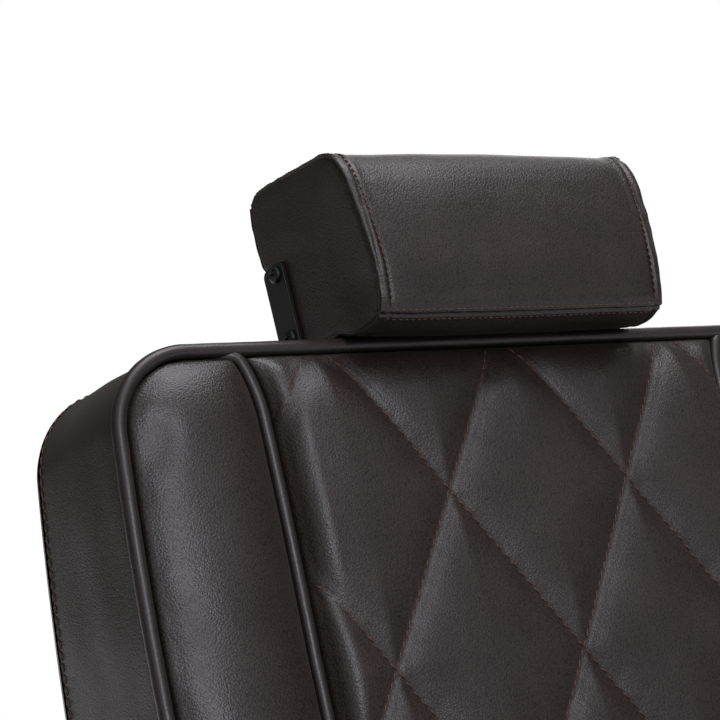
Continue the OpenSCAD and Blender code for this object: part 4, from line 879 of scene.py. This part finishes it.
def band_piece(cushion, last_behind, rise, slots, seed):
    loop = outline_path(cushion)
    for low, high, start, end, level in slots:
        loop = snap_across(loop, level, (low, high))
    outward = outward_of(loop)
    lift = rise(loop[:, 1])
    end_behind = last_behind(loop[:, 1] - lift)
    share = np.arange(band_rows + 1) / band_rows
    for low, high, start, end, level in slots:
        reach = last_behind(np.array([level]))[0] - band_front
        for edge in (start, end):
            wanted = (edge - band_front) / reach
            if wanted < 1:
                share[np.abs(share - wanted).argmin()] = wanted
    behind = band_front + (end_behind - band_front)[:, None] * share[None, :]
    travel = np.arange(len(loop)) * outline_pitch
    swell = np.sin(math.pi * share) ** 0.5
    waves = 0.6 * ripple(travel[:, None], behind, 60, seed)
    out = (band_out - 1.2 + 1.6 * swell)[None, :] + swell[None, :] * waves
    out = out + np.exp(-np.minimum(behind - band_front, end_behind[:, None] - behind) / 5) * 0.3 * ripple(
        travel[:, None], behind * 0.4, 14, seed + 1)
    x = loop[:, 0][:, None] + outward[:, 0][:, None] * out
    v = loop[:, 1][:, None] + outward[:, 1][:, None] * out
    inner_x, inner_v = (loop - outward * band_turned_in).T
    x = np.concatenate((inner_x[:, None], x, inner_x[:, None]), axis=1)
    v = np.concatenate((inner_v[:, None], v, inner_v[:, None]), axis=1)
    behind = np.concatenate((behind[:, :1], behind, behind[:, -1:]), axis=1)
    v = v - lift[:, None] * behind / end_behind[:, None]
    rows, cols = x.shape
    faces = []
    for k in range(rows):
        after = (k + 1) % rows
        middle_x = (loop[k, 0] + loop[after, 0]) / 2
        level_at = (loop[k, 1] + loop[after, 1]) / 2
        for s in range(cols - 1):
            middle_behind = (behind[k, s] + behind[k, s + 1]) / 2
            if 0 < s < cols - 2 and any(
                abs(level_at - level) < 1 and low < abs(middle_x) < high and start < middle_behind < end
                for low, high, start, end, level in slots
            ):
                continue
            faces.append([k * cols + s, after * cols + s, after * cols + s + 1, k * cols + s + 1])
    place = cushion.place(x, behind, v)
    piece = make_piece(cushion.name + "_side_band", place, faces, flat_leather, cushion.body)
    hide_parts(cushion.name + "_band")
    return loop, outward


back_slots = ((*bar_slots, 0), (*arm_slots, back_len))
back_loop, back_outward = band_piece(
    back_cushion, lambda down: back_depth(down) - rear_round - 0.6, back_rise, back_slots, 41)

# Rear panel of the backrest
# Hide stretched over a rounded shell, sewn to the side band all round, with one row of stitches in
# the band beside the seam; it bulges a little in the middle.
rear_cols = 110
rear_rows = 120


def rear_piece():
    s, t = crowded(rear_rows, 0.5), crowded(rear_cols, 0.5)
    v = np.broadcast_to((-band_out + (back_len + 2 * band_out) * s)[:, None], (rear_rows + 1, rear_cols + 1))
    half = half_at(back_cushion, v, band_out)
    x = half * (2 * t[None, :] - 1)
    distance = np.minimum(half - np.abs(x), np.minimum(v + band_out, back_len + band_out - v))
    tuck = corner_cut(np.maximum(distance, 0), rear_round)
    bulge = 2.2 * np.sin(math.pi * s)[:, None] * np.sin(math.pi * t)[None, :]
    v = v - back_rise(v)
    behind = back_depth(v) - tuck + bulge + 0.5 * np.clip(distance / 30, 0, 1) * ripple(x, v, 90, 51)
    behind = behind - 1.4 * np.exp(-np.maximum(distance, 0) / 2.5)
    place = back_place(x, behind, v)
    piece = make_piece("back_rear_hide", place, grid_faces(*x.shape), flat_leather, "backrest", flip=True)
    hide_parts("back_rear_panel")


rear_piece()


def seam_row(place, loop, outward, behind, out):
    x = loop[:, 0] + outward[:, 0] * out
    v = loop[:, 1] + outward[:, 1] * out
    path = place(x, behind, v)
    tip = place(x + outward[:, 0], behind, v + outward[:, 1])
    path = np.concatenate((path, path[:1]))
    return path, unit(np.concatenate((tip, tip[:1])) - path)


seam_lift = back_rise(back_loop[:, 1])
seam_behind = back_depth(back_loop[:, 1] - seam_lift) - rear_round - 0.6
seam_shift = seam_lift * (seam_behind - 5) / seam_behind
seam_loop = back_loop - np.stack((np.zeros(len(back_loop)), seam_shift), axis=-1)
sewn_rows(
    "back_rear_seam", [seam_row(back_place, seam_loop, back_outward, seam_behind - 5, 1.35)], "backrest")

# Headrest
# A foam block wrapped from the front seam over the top and down the rear in one piece of hide, with
# a flat panel let in at each end; its front lower seam has a row of stitches on both sides.
head_half = 113
head_depth = 119
head_height = 124
head_base = 5
head_middle = (-0.09, 0.5)
head_outline_shares = (
    (0.06, -0.01), (0.13, -0.04), (0.26, -0.053), (0.366, -0.024), (0.41, 0.04), (0.434, 0.137),
    (0.448, 0.25), (0.446, 0.444), (0.43, 0.63), (0.416, 0.7), (0.393, 0.762), (0.34, 0.832),
    (0.27, 0.874), (0.18, 0.895), (0.02, 0.92), (-0.21, 0.956), (-0.38, 0.979), (-0.465, 0.972),
    (-0.52, 0.94), (-0.546, 0.88), (-0.554, 0.8), (-0.552, 0.64), (-0.516, 0.55), (-0.462, 0.48),
    (-0.436, 0.35), (-0.432, 0.2), (-0.415, 0.09), (-0.37, 0.035), (-0.3, 0.024), (-0.15, 0.012),
    (-0.05, 0.008), (0.01, 0.006),
)
front_seam_point = 3
rear_seam_point = 18
end_round = 3.2
end_roll = 24
end_roll_drop = 1.0
end_stitch_in = 8.6
end_taper = 4.2
seam_stitch_gap = 3.3


def closed_curve(points, steps):
    points = np.asarray(points, float)
    before, after, later = np.roll(points, 1, 0), np.roll(points, -1, 0), np.roll(points, -2, 0)
    t = (np.arange(steps) / steps)[None, :, None]
    a, b, c, d = (part[:, None, :] for part in (before, points, after, later))
    curve = 0.5 * (2 * b + (c - a) * t + (2 * a - 5 * b + 4 * c - d) * t**2 + (3 * b - a - 3 * c + d) * t**3)
    return curve.reshape(-1, 2)


head_dense = closed_curve(head_outline_shares, 24) * (head_depth, head_height)
head_ring = np.concatenate((head_dense, head_dense[:1]))
head_travel = distance_along(head_ring)
front_seam_at = head_travel[front_seam_point * 24]
rear_seam_at = head_travel[rear_seam_point * 24]
head_girth = head_travel[-1]


def head_point(at):
    return at_distance(np.mod(at, head_girth), head_travel, head_ring)


def head_outward(at):
    way = unit(head_point(at + 1.5) - head_point(at - 1.5))
    return np.stack((way[..., 1], -way[..., 0]), axis=-1)


def head_skin(at, x):
    at, x = np.broadcast_arrays(at, x)
    base = head_point(at)
    inward = unit(np.array(head_middle) * (head_depth, head_height) - base)
    u = np.abs(x) / head_half
    past = np.clip(np.abs(x) - (head_half - end_round), 0, end_round)
    eased = np.clip(np.abs(x) - (head_half - end_roll), 0, end_roll) / end_roll
    rounded = end_round - np.sqrt(end_round**2 - past**2)
    drawn = (-0.018 + 0.013 * u**2) * head_depth + rounded + end_roll_drop * eased**2
    point = base + inward * drawn[..., None]
    out = head_outward(at)
    closing = np.clip(np.minimum(np.mod(at, head_girth), head_girth - np.mod(at, head_girth)) / 14, 0, 1)
    lift = 0.7 * closing * ripple(at, x, 62, 61) * (1 - u**6)
    for seam_at in (front_seam_at, rear_seam_at):
        away = np.abs(at - seam_at)
        lift = lift - 1.3 * np.exp(-(away / 0.9) ** 2) + 0.5 * np.exp(-((away - 2.2) / 1.6) ** 2)
        lift = lift - 0.35 * np.exp(-((away - seam_stitch_gap) / 0.7) ** 2)
        lift = lift + 0.28 * np.exp(-away / 7) * ripple(x, at * 0.2, 11, 62)
    edge = head_half - np.abs(x)
    row = np.exp(-((edge - end_stitch_in) / 1.3) ** 2)
    lift = lift - 0.9 * row + 0.45 * closing * np.exp(-edge / 9) * ripple(at, x * 0.3, 12, 63)
    point = point + out * lift[..., None]
    return point, out


def head_place(x, point):
    # the lower front corners are drawn in a little and the upper ones stand out
    forward, up = point[..., 0], point[..., 1]
    taper = end_taper * np.clip((72 - up) / 55, 0, 1) - 1.2 * np.clip((up - 72) / 20, 0, 1)
    taper = taper * np.clip((forward + 15) / 50, 0, 1) ** 2
    return back_place(x - taper * np.sign(x) * np.abs(x / head_half) ** 4, -forward, -(head_base + up))


def head_piece():
    beside = np.arange(-4, 5)
    at = np.concatenate((np.arange(0, head_girth, 2.6), front_seam_at + beside, rear_seam_at + beside))
    at = np.unique(np.round(np.mod(at, head_girth), 2))
    at = at[np.concatenate(([True], np.diff(at) > 0.45))]
    share = np.linspace(-1, 1, 65)
    x = (head_half - 0.5) * np.sign(share) * np.abs(share) ** 0.8
    extra = head_half - end_stitch_in + np.array([-1.5, -0.5, 0.5, 1.5])
    rolled = head_half - np.array([5.5, 4, 2.6, 1.5])
    x = np.unique(np.round(np.concatenate((x, extra, -extra, rolled, -rolled)), 2))
    x = x[np.concatenate(([True], np.diff(x) > 0.4))]
    skin, _ = head_skin(at[:, None], x[None, :])
    rows, cols = len(at), len(x)
    points = [head_place(np.broadcast_to(x[None, :], (rows, cols)), skin).reshape(-1, 3)]
    faces = []
    for k in range(rows):
        after = (k + 1) % rows
        for s in range(cols - 1):
            faces.append([k * cols + s, k * cols + s + 1, after * cols + s + 1, after * cols + s])
    total = rows * cols
    middle = np.array(head_middle) * (head_depth, head_height)
    for hand, column in ((-1, 0), (1, cols - 1)):
        rim = skin[:, column]
        previous = [k * cols + column for k in range(rows)]
        inward = unit(middle - rim)
        rings = []
        shallow = 0.35 + 0.65 * np.clip((rim[:, 1] + 2 + np.maximum(rim[:, 0] - 14, 0)) / 12, 0, 1)
        for step, depth in ((0.7, 1.6), (1.5, 0.7), (2.6, 0.2), (4.5, 0.0)):
            rings.append((rim + inward * step, depth * shallow))
        for share_left in (0.85, 0.7, 0.55, 0.4, 0.25, 0.12):
            rings.append((middle + (rim + inward * 4.5 - middle) * share_left, 0.0))
        for ring, depth in rings:
            dish = 0.12 * ripple(ring[:, 0], ring[:, 1], 34, 64)
            place = head_place(hand * (head_half - 0.15 - depth + np.minimum(dish, 0.1)), ring)
            points.append(place)
            current = [total + k for k in range(rows)]
            total += rows
            for k in range(rows):
                after = (k + 1) % rows
                face = [previous[k], previous[after], current[after], current[k]]
                faces.append(face if hand < 0 else face[::-1])
            previous = current
        points.append(head_place(np.array([hand * (head_half - 0.15)]), middle[None, :]))
        for k in range(rows):
            face = [previous[k], previous[(k + 1) % rows], total]
            faces.append(face if hand < 0 else face[::-1])
        total += 1
    piece = make_piece("headrest_cushion", np.concatenate(points), faces, brown_leather, "headrest")
    piece.data.materials.append(flat_leather)
    for face in piece.data.polygons[rows * (cols - 1):]:
        face.material_index = 1
    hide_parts("headrest_pad")
    return piece


headrest_cushion = head_piece()


def head_held(points):
    x, behind, down = back_spot(points)
    point = np.stack((-behind, -down - head_base), axis=-1)
    edge = head_half - np.abs(x)
    held = np.maximum(np.clip((7 - edge) / 2, 0, 1), np.exp(-((edge - end_stitch_in) / 2.5) ** 2))
    for seam_at in (front_seam_at, rear_seam_at):
        away = np.linalg.norm(point - head_point(seam_at), axis=1)
        held = np.maximum(held, np.exp(-(away / 6) ** 2))
    return np.maximum(held, np.clip((8 - point[:, 1]) / 6, 0, 1))


swell_hide(headrest_cushion, head_held, 1.2, 5)


def head_row(at, x):
    skin, out = head_skin(at, x)
    path = head_place(x, skin)
    return path, unit(head_place(x, skin + out) - path)


across = np.arange(-head_half + 4, head_half - 3.9, 1.5)
head_rows = [
    head_row(np.full(len(across), front_seam_at + step), across)
    for step in (-seam_stitch_gap, seam_stitch_gap)
]
head_rows.append(head_row(np.full(len(across), rear_seam_at - seam_stitch_gap), across))
over = np.arange(front_seam_at + 5, rear_seam_at - 4, 1.5)
for hand in (1, -1):
    head_rows.append(head_row(over, np.full(len(over), hand * (head_half - end_stitch_in))))
sewn_rows("headrest_stitches", head_rows, "headrest", radius=0.48, length=3.5, pitch=4.4)
top_edge = np.arange(front_seam_at + 112, rear_seam_at - 6, 1.5)
edge_rows = [head_row(top_edge, np.full(len(top_edge), hand * (head_half - 2.6))) for hand in (1, -1)]
sewn_rows(
    "headrest_edge_stitches", edge_rows, "headrest", radius=0.34, length=2.6, pitch=3.4, slant=0.8)

# Bars of the headrest
# Two flat steel bars with eased corners and broken edges, powder-coated satin black, screwed to the
# ends of the cushion; they slide down through slots in the side band into guides behind the board.
bar_in, bar_out = 113.25, 116.25
bar_middle = 47.5
bar_w = 23.5
bar_top = 73
bar_corner = 4.5
bar_hold = 148

# The coat wears through to bare metal in flecks along sharp edges
wear, given, result = group_of(
    "edge wear",
    [("Edge", "NodeSocketFloat", 0.5), ("Sharpness", "NodeSocketFloat", 14.0),
        ("Patch size", "NodeSocketFloat", 60.0)],
    [("Wear", "NodeSocketFloat"), ("Fleck height", "NodeSocketFloat")],
)
spot = object_spot(wear)
point = add_node(wear, "ShaderNodeNewGeometry").outputs["Pointiness"]
patch = noise(wear, spot, given["Patch size"], 5)["Fac"]
rise = sum_of(wear, "SUBTRACT", point, given["Edge"])
rise = sum_of(wear, "MULTIPLY", rise, given["Sharpness"])
rise = sum_of(wear, "ADD", rise, sum_of(wear, "SUBTRACT", patch, 0.75))
feed(wear, result, {
    "Wear": sum_of(wear, "MULTIPLY", rise, 1.0, clamp=True),
    "Fleck height": noise(wear, spot, 1500)["Fac"],
})


def coated(name, paint, bare, roughness, fleck_mm, edge, gloss, bare_metal=1.0):
    material, tree = new_material(name)
    worn = add_node(tree, "ShaderNodeGroup", {"Edge": edge}, node_tree=wear).outputs
    end_material(tree, {
        "Base Color": blend(tree, worn["Wear"], (*paint, 1), (*bare, 1)),
        "Roughness": sum_of(tree, "MULTIPLY_ADD", worn["Fleck height"], 0.16, roughness - 0.08),
        "Metallic": sum_of(tree, "MULTIPLY", worn["Wear"], bare_metal),
        "Specular IOR Level": gloss,
        "Normal": bump(tree, worn["Fleck height"], fleck_mm),
    })
    return material


black_coat = coated(
    "satin_black_coat", (0.0042, 0.0046, 0.0046), (0.06, 0.058, 0.056), 0.42, 0.035, edge=0.6, gloss=0.28)


def soften(piece, width, segments=2, angle=35):
    edges = piece.modifiers.new("edges", "BEVEL")
    edges.width = width * MM
    edges.segments = segments
    edges.limit_method = "ANGLE"
    edges.angle_limit = math.radians(angle)
    edges.harden_normals = True


def bars_piece():
    turn = np.radians(np.linspace(0, 90, 9))
    corner = bar_w / 2 - bar_corner + bar_corner * np.cos(turn)
    level = bar_corner - bar_top - bar_corner * np.sin(turn)
    behind = bar_middle + np.concatenate(([bar_w / 2], corner, -corner[::-1], [-bar_w / 2]))
    down = np.concatenate(([bar_hold], level, level[::-1], [bar_hold]))
    points, faces = [], []
    for hand in (1, -1):
        base = sum(len(part) for part in points)
        count = len(behind)
        for x in (bar_in, bar_out):
            points.append(back_place(np.full(count, hand * x), behind, down))
        inner = [base + k for k in range(count)]
        outer = [base + count + k for k in range(count)]
        made = [inner[::-1], outer]
        made += [[inner[k], inner[(k + 1) % count], outer[(k + 1) % count], outer[k]] for k in range(count)]
        faces += made if hand > 0 else [face[::-1] for face in made]
    piece = make_piece("headrest_flat_bars", np.concatenate(points), faces, black_coat, "headrest")
    soften(piece, 0.55)
    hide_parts("headrest_bars")


bars_piece()

# Screws of the headrest
# Pan heads with a cross recess, blackened steel, about 11 mm across, driven through the bars.
screw_head_r = 5.5
screw_head_h = 3.2
screw_drops = (66, 23)
screw_behind = bar_middle - 3.05
recess_half = 2.6
recess_slot_half = 0.62
recess_deep = 1.9


def screws_piece():
    points, faces = [], []
    radii = np.array([0, 0.5, 1.0, 1.5, 2.0, 2.4, 2.8, 3.3, 4.0, 4.6, 5.0, 5.3, 5.5, 5.5])
    sides = 56
    turn = np.arange(sides) * 2 * math.pi / sides
    for hand in (1, -1):
        for drop in screw_drops:
            base = len(points)
            for k, radius in enumerate(radii):
                dome = screw_head_h * (0.28 + 0.72 * math.sqrt(max(0, 1 - (radius / screw_head_r) ** 2.6)))
                if k == len(radii) - 1:
                    dome = 0
                for angle in turn:
                    u, v = radius * math.cos(angle + 0.5), radius * math.sin(angle + 0.5)
                    arm = min(
                        max(abs(u) / recess_half, abs(v) / recess_slot_half),
                        max(abs(v) / recess_half, abs(u) / recess_slot_half),
                    )
                    recess = recess_deep * min(1, max(0, 1.25 - arm) * 3)
                    out = hand * (bar_out + dome - recess)
                    points.append(back_place(out, screw_behind + u, v - drop))
            made = ring_faces(base, len(radii), sides, capped=False)
            faces += made if hand > 0 else [face[::-1] for face in made]
    piece = make_piece("headrest_cross_screws", points, faces, black_coat, "headrest")
    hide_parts("headrest_screws")


screws_piece()

# Seat
# Built like the backrest: a quilted middle between two rolls, all on a foam box and a plywood board,
# with a side band whose lower edge is turned in and stapled under the board.
seat_w = 524
seat_rear = 178
seat_level = 520
seat_len = 478
seat_corner_r = 46
seat_band_h = 96
seat_pad_back = 49
seat_box_h = 32


def seat_place(x, behind, down):
    x, behind, down = np.broadcast_arrays(x, behind, down)
    return np.stack((x, seat_rear - down, seat_level - behind), axis=-1) * MM


def seat_half(down):
    return np.full(np.shape(down), seat_w / 2 - band_out)


def seat_inner_half(down):
    return seat_half(down) - bolster_w


def seat_spot(points):
    x, y, z = (points / MM).T
    return x, seat_level - z, seat_rear - y


seat_cushion = Cushion(
    "seat", seat_place, seat_spot, seat_half, seat_inner_half, seat_len, seat_corner_r, seat_pad_back, "seat")
quilted_piece(seat_cushion, 71)
sew_quilt(seat_cushion, 71)
for hand, word in ((1, "right"), (-1, "left")):
    roll_piece(seat_cushion, hand, word, 75)
edge_piping(seat_cushion, 77)
inner_pipings(seat_cushion, 78)
seat_loop, seat_outward = band_piece(
    seat_cushion, lambda down: np.full(np.shape(down), float(seat_band_h)), no_rise, (), 79)
seam_depth = np.full(len(seat_loop), seat_band_h - 12.0)
sewn_rows("seat_band_seam", [seam_row(seat_place, seat_loop, seat_outward, seam_depth, 1.5)], "seat")


def foam_finish():
    material, tree = new_material("cut_foam")
    cells = add_node(tree, "ShaderNodeTexVoronoi", {"Vector": object_spot(tree), "Scale": 700})
    pores = cells.outputs["Distance"]
    end_material(tree, {
        "Base Color": blend(tree, pores, (0.16, 0.15, 0.13, 1), (0.34, 0.32, 0.28, 1)),
        "Roughness": 0.9,
        "Normal": bump(tree, pores, 0.4),
    })
    return material


def foam_piece():
    loop = outline_path(seat_cushion, pitch=6)
    outward = outward_of(loop)
    rings, count = [], len(loop)
    for behind, out in ((seat_pad_back, -14), (seat_pad_back + 0.4, -8), (seat_pad_back + 3, -6.2),
            (seat_pad_back + 16, -5.8), (seat_pad_back + 29, -6.2), (seat_pad_back + seat_box_h, -7)):
        wide = loop + outward * out
        rings.append(seat_place(wide[:, 0], np.full(count, behind), wide[:, 1]))
    faces = ring_faces(0, len(rings), count)
    piece = make_piece("seat_foam", np.concatenate(rings), faces, foam_finish(), "seat", flip=True)
    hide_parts("seat_box")


foam_piece()

# Arm pads
# Each is a moulded foam pad on a board, covered in the same hide: a crowned top panel sewn to a low
# side wall, with a row of stitches just above the seam.
arm_x = 302
arm_pad_w = 76
arm_pad_len = 390
arm_pad_h = 38
arm_pad_rear = 229
arm_pad_base = 721.82


def arm_half(v):
    return arm_pad_w / 2 - corner_cut(np.minimum(v, arm_pad_len - v), arm_pad_w * 0.34)


def arm_top(x, v, half):
    from_end = np.clip(np.minimum(v, arm_pad_len - v) / arm_pad_h, 0, 1)
    rise = np.sqrt(np.maximum(0, 1 - (np.abs(x) / half) ** 3)) * np.sqrt(1 - (1 - from_end) ** 2)
    return -arm_pad_h * (0.35 + 0.65 * rise), rise


def arm_pad_piece(hand, word, seed):
    cols, rows = 40, 150
    s, t = crowded(cols), crowded(rows, 0.55)
    v = np.broadcast_to((arm_pad_len * t)[:, None], (rows + 1, cols + 1))
    half = arm_half(v)
    x = half * (2 * s[None, :] - 1)
    behind, rise = arm_top(x, v, half)
    behind = behind + 0.4 * rise * ripple(x, v, 55, seed)
    place = lambda px, pb, pv: np.stack(
        (hand * (arm_x + px), arm_pad_rear - pv, arm_pad_base - pb), axis=-1) * MM
    faces = grid_faces(rows + 1, cols + 1)
    points = [place(x, behind, v).reshape(-1, 3)]
    loop = rim_of(rows + 1, cols + 1)
    edge = np.stack((x.ravel()[loop], v.ravel()[loop]), axis=-1)
    spine = np.stack((np.zeros(len(edge)), np.clip(edge[:, 1], 30, arm_pad_len - 30)), axis=-1)
    away = unit(edge - spine)
    previous = loop
    total = x.size
    for level, out in ((12.4, -1.1), (11.4, -0.1), (8, 0.9), (4, 0.9), (1.2, 0.2), (0.1, -1.5)):
        ring = edge + away * out
        points.append(place(ring[:, 0], np.full(len(ring), -level), ring[:, 1]))
        current = total + np.arange(len(loop))
        total += len(loop)
        for k in range(len(loop)):
            after = (k + 1) % len(loop)
            faces.append([int(previous[k]), int(previous[after]), int(current[after]), int(current[k])])
        previous = current
    faces.append([int(k) for k in previous])
    piece = make_piece(
        "arm_rest_pad_" + word, np.concatenate(points), faces, brown_leather, "seat", flip=hand < 0)
    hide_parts("arm_pad_" + word)
    swell_hide(piece, lambda points: np.clip(16 - (points[:, 2] / MM - arm_pad_base), 0, 3) / 3, 1.0, 4)
    inner = edge - away * 3.2
    half = arm_half(inner[:, 1])
    level, _ = arm_top(np.clip(inner[:, 0], -half, half), inner[:, 1], np.maximum(half, 1))
    path = place(inner[:, 0], level, inner[:, 1])
    tip = place(inner[:, 0] + away[:, 0], level - 0.8, inner[:, 1] + away[:, 1])
    path, tip = np.concatenate((path, path[:1])), np.concatenate((tip, tip[:1]))
    sewn_rows("arm_rest_stitches_" + word, [(path, unit(tip - path))], "seat")


for hand, word in ((1, "right"), (-1, "left")):
    arm_pad_piece(hand, word, 81)

# Bright metal parts
# Chrome on the base, shroud, arm loops, lever, pedal and footrest; a ground steel ram; zinc-plated
# bolts and pins; a cast alloy foot plate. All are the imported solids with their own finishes.
handling, given, result = group_of(
    "handling marks",
    [("Smudge size", "NodeSocketFloat", 9.0), ("Scratch size", "NodeSocketFloat", 260.0)],
    [("Smudge", "NodeSocketFloat"), ("Scratch height", "NodeSocketFloat")],
)
spot = object_spot(handling)
drawn_out = add_node(handling, "ShaderNodeMapping", {"Vector": spot, "Scale": (1, 1, 0.04)}).outputs[0]
feed(handling, result, {
    "Smudge": noise(handling, spot, given["Smudge size"], 6, Roughness=0.6)["Fac"],
    "Scratch height": noise(handling, drawn_out, given["Scratch size"], 3)["Fac"],
})


def bright_metal(name, clean, dull, roughness, smudge, scratch_mm, scratch_size=260.0):
    material, tree = new_material(name)
    marks = add_node(tree, "ShaderNodeGroup", {"Scratch size": scratch_size}, node_tree=handling).outputs
    end_material(tree, {
        "Base Color": blend(tree, marks["Smudge"], (*clean, 1), (*dull, 1)),
        "Metallic": 1,
        "Roughness": sum_of(tree, "MULTIPLY_ADD", marks["Smudge"], smudge, roughness),
        "Normal": bump(tree, marks["Scratch height"], scratch_mm),
    })
    return material


finishes = {
    "chrome": bright_metal("bright_chrome", (0.66, 0.665, 0.68), (0.5, 0.505, 0.515), 0.02, 0.14, 0.004),
    "ram_steel": bright_metal("ground_steel", (0.58, 0.58, 0.58), (0.44, 0.44, 0.44), 0.12, 0.2, 0.02, 900.0),
    "bright_steel": bright_metal(
        "zinc_plate", (0.6, 0.59, 0.55), (0.42, 0.42, 0.41), 0.22, 0.25, 0.02, 700.0),
    "foot_alloy": bright_metal("cast_alloy", (0.56, 0.56, 0.57), (0.4, 0.4, 0.41), 0.25, 0.25, 0.05, 500.0),
    "black_steel": black_coat,
}

# Rubber and plywood
# A moulded ring under the base, ribbed treads and a lever grip of black rubber; birch plywood boards
# whose edges show their layers and whose faces show long grain.
finishes["rubber"] = coated(
    "black_rubber", (0.014, 0.014, 0.014), (0.04, 0.04, 0.04), 0.72, 0.09,
    edge=0.57, gloss=0.25, bare_metal=0.0)


def plywood_finish():
    material, tree = new_material("birch_plywood")
    spot = object_spot(tree)
    drawn_out = add_node(tree, "ShaderNodeMapping", {"Vector": spot, "Scale": (14, 1.2, 60)}).outputs[0]
    grain = noise(tree, drawn_out, 9, 7)["Fac"]
    wave_values = {"Vector": spot, "Scale": 190, "Distortion": 0.6}
    layers = add_node(tree, "ShaderNodeTexWave", wave_values, bands_direction="Z").outputs["Fac"]
    mixed = sum_of(tree, "MULTIPLY_ADD", layers, 0.35, sum_of(tree, "MULTIPLY", grain, 0.7))
    end_material(tree, {
        "Base Color": blend(tree, mixed, (0.33, 0.2, 0.1, 1), (0.6, 0.44, 0.27, 1)),
        "Roughness": 0.62,
        "Normal": bump(tree, grain, 0.2),
    })
    return material


finishes["plywood"] = plywood_finish()
for part in frame["record"]["subparts"]:
    finish = finishes.get(part["material_slot"])
    if finish is None:
        continue
    mesh = frame["nodes"][part["node"]].data
    mesh.materials.clear()
    mesh.materials.append(finish)
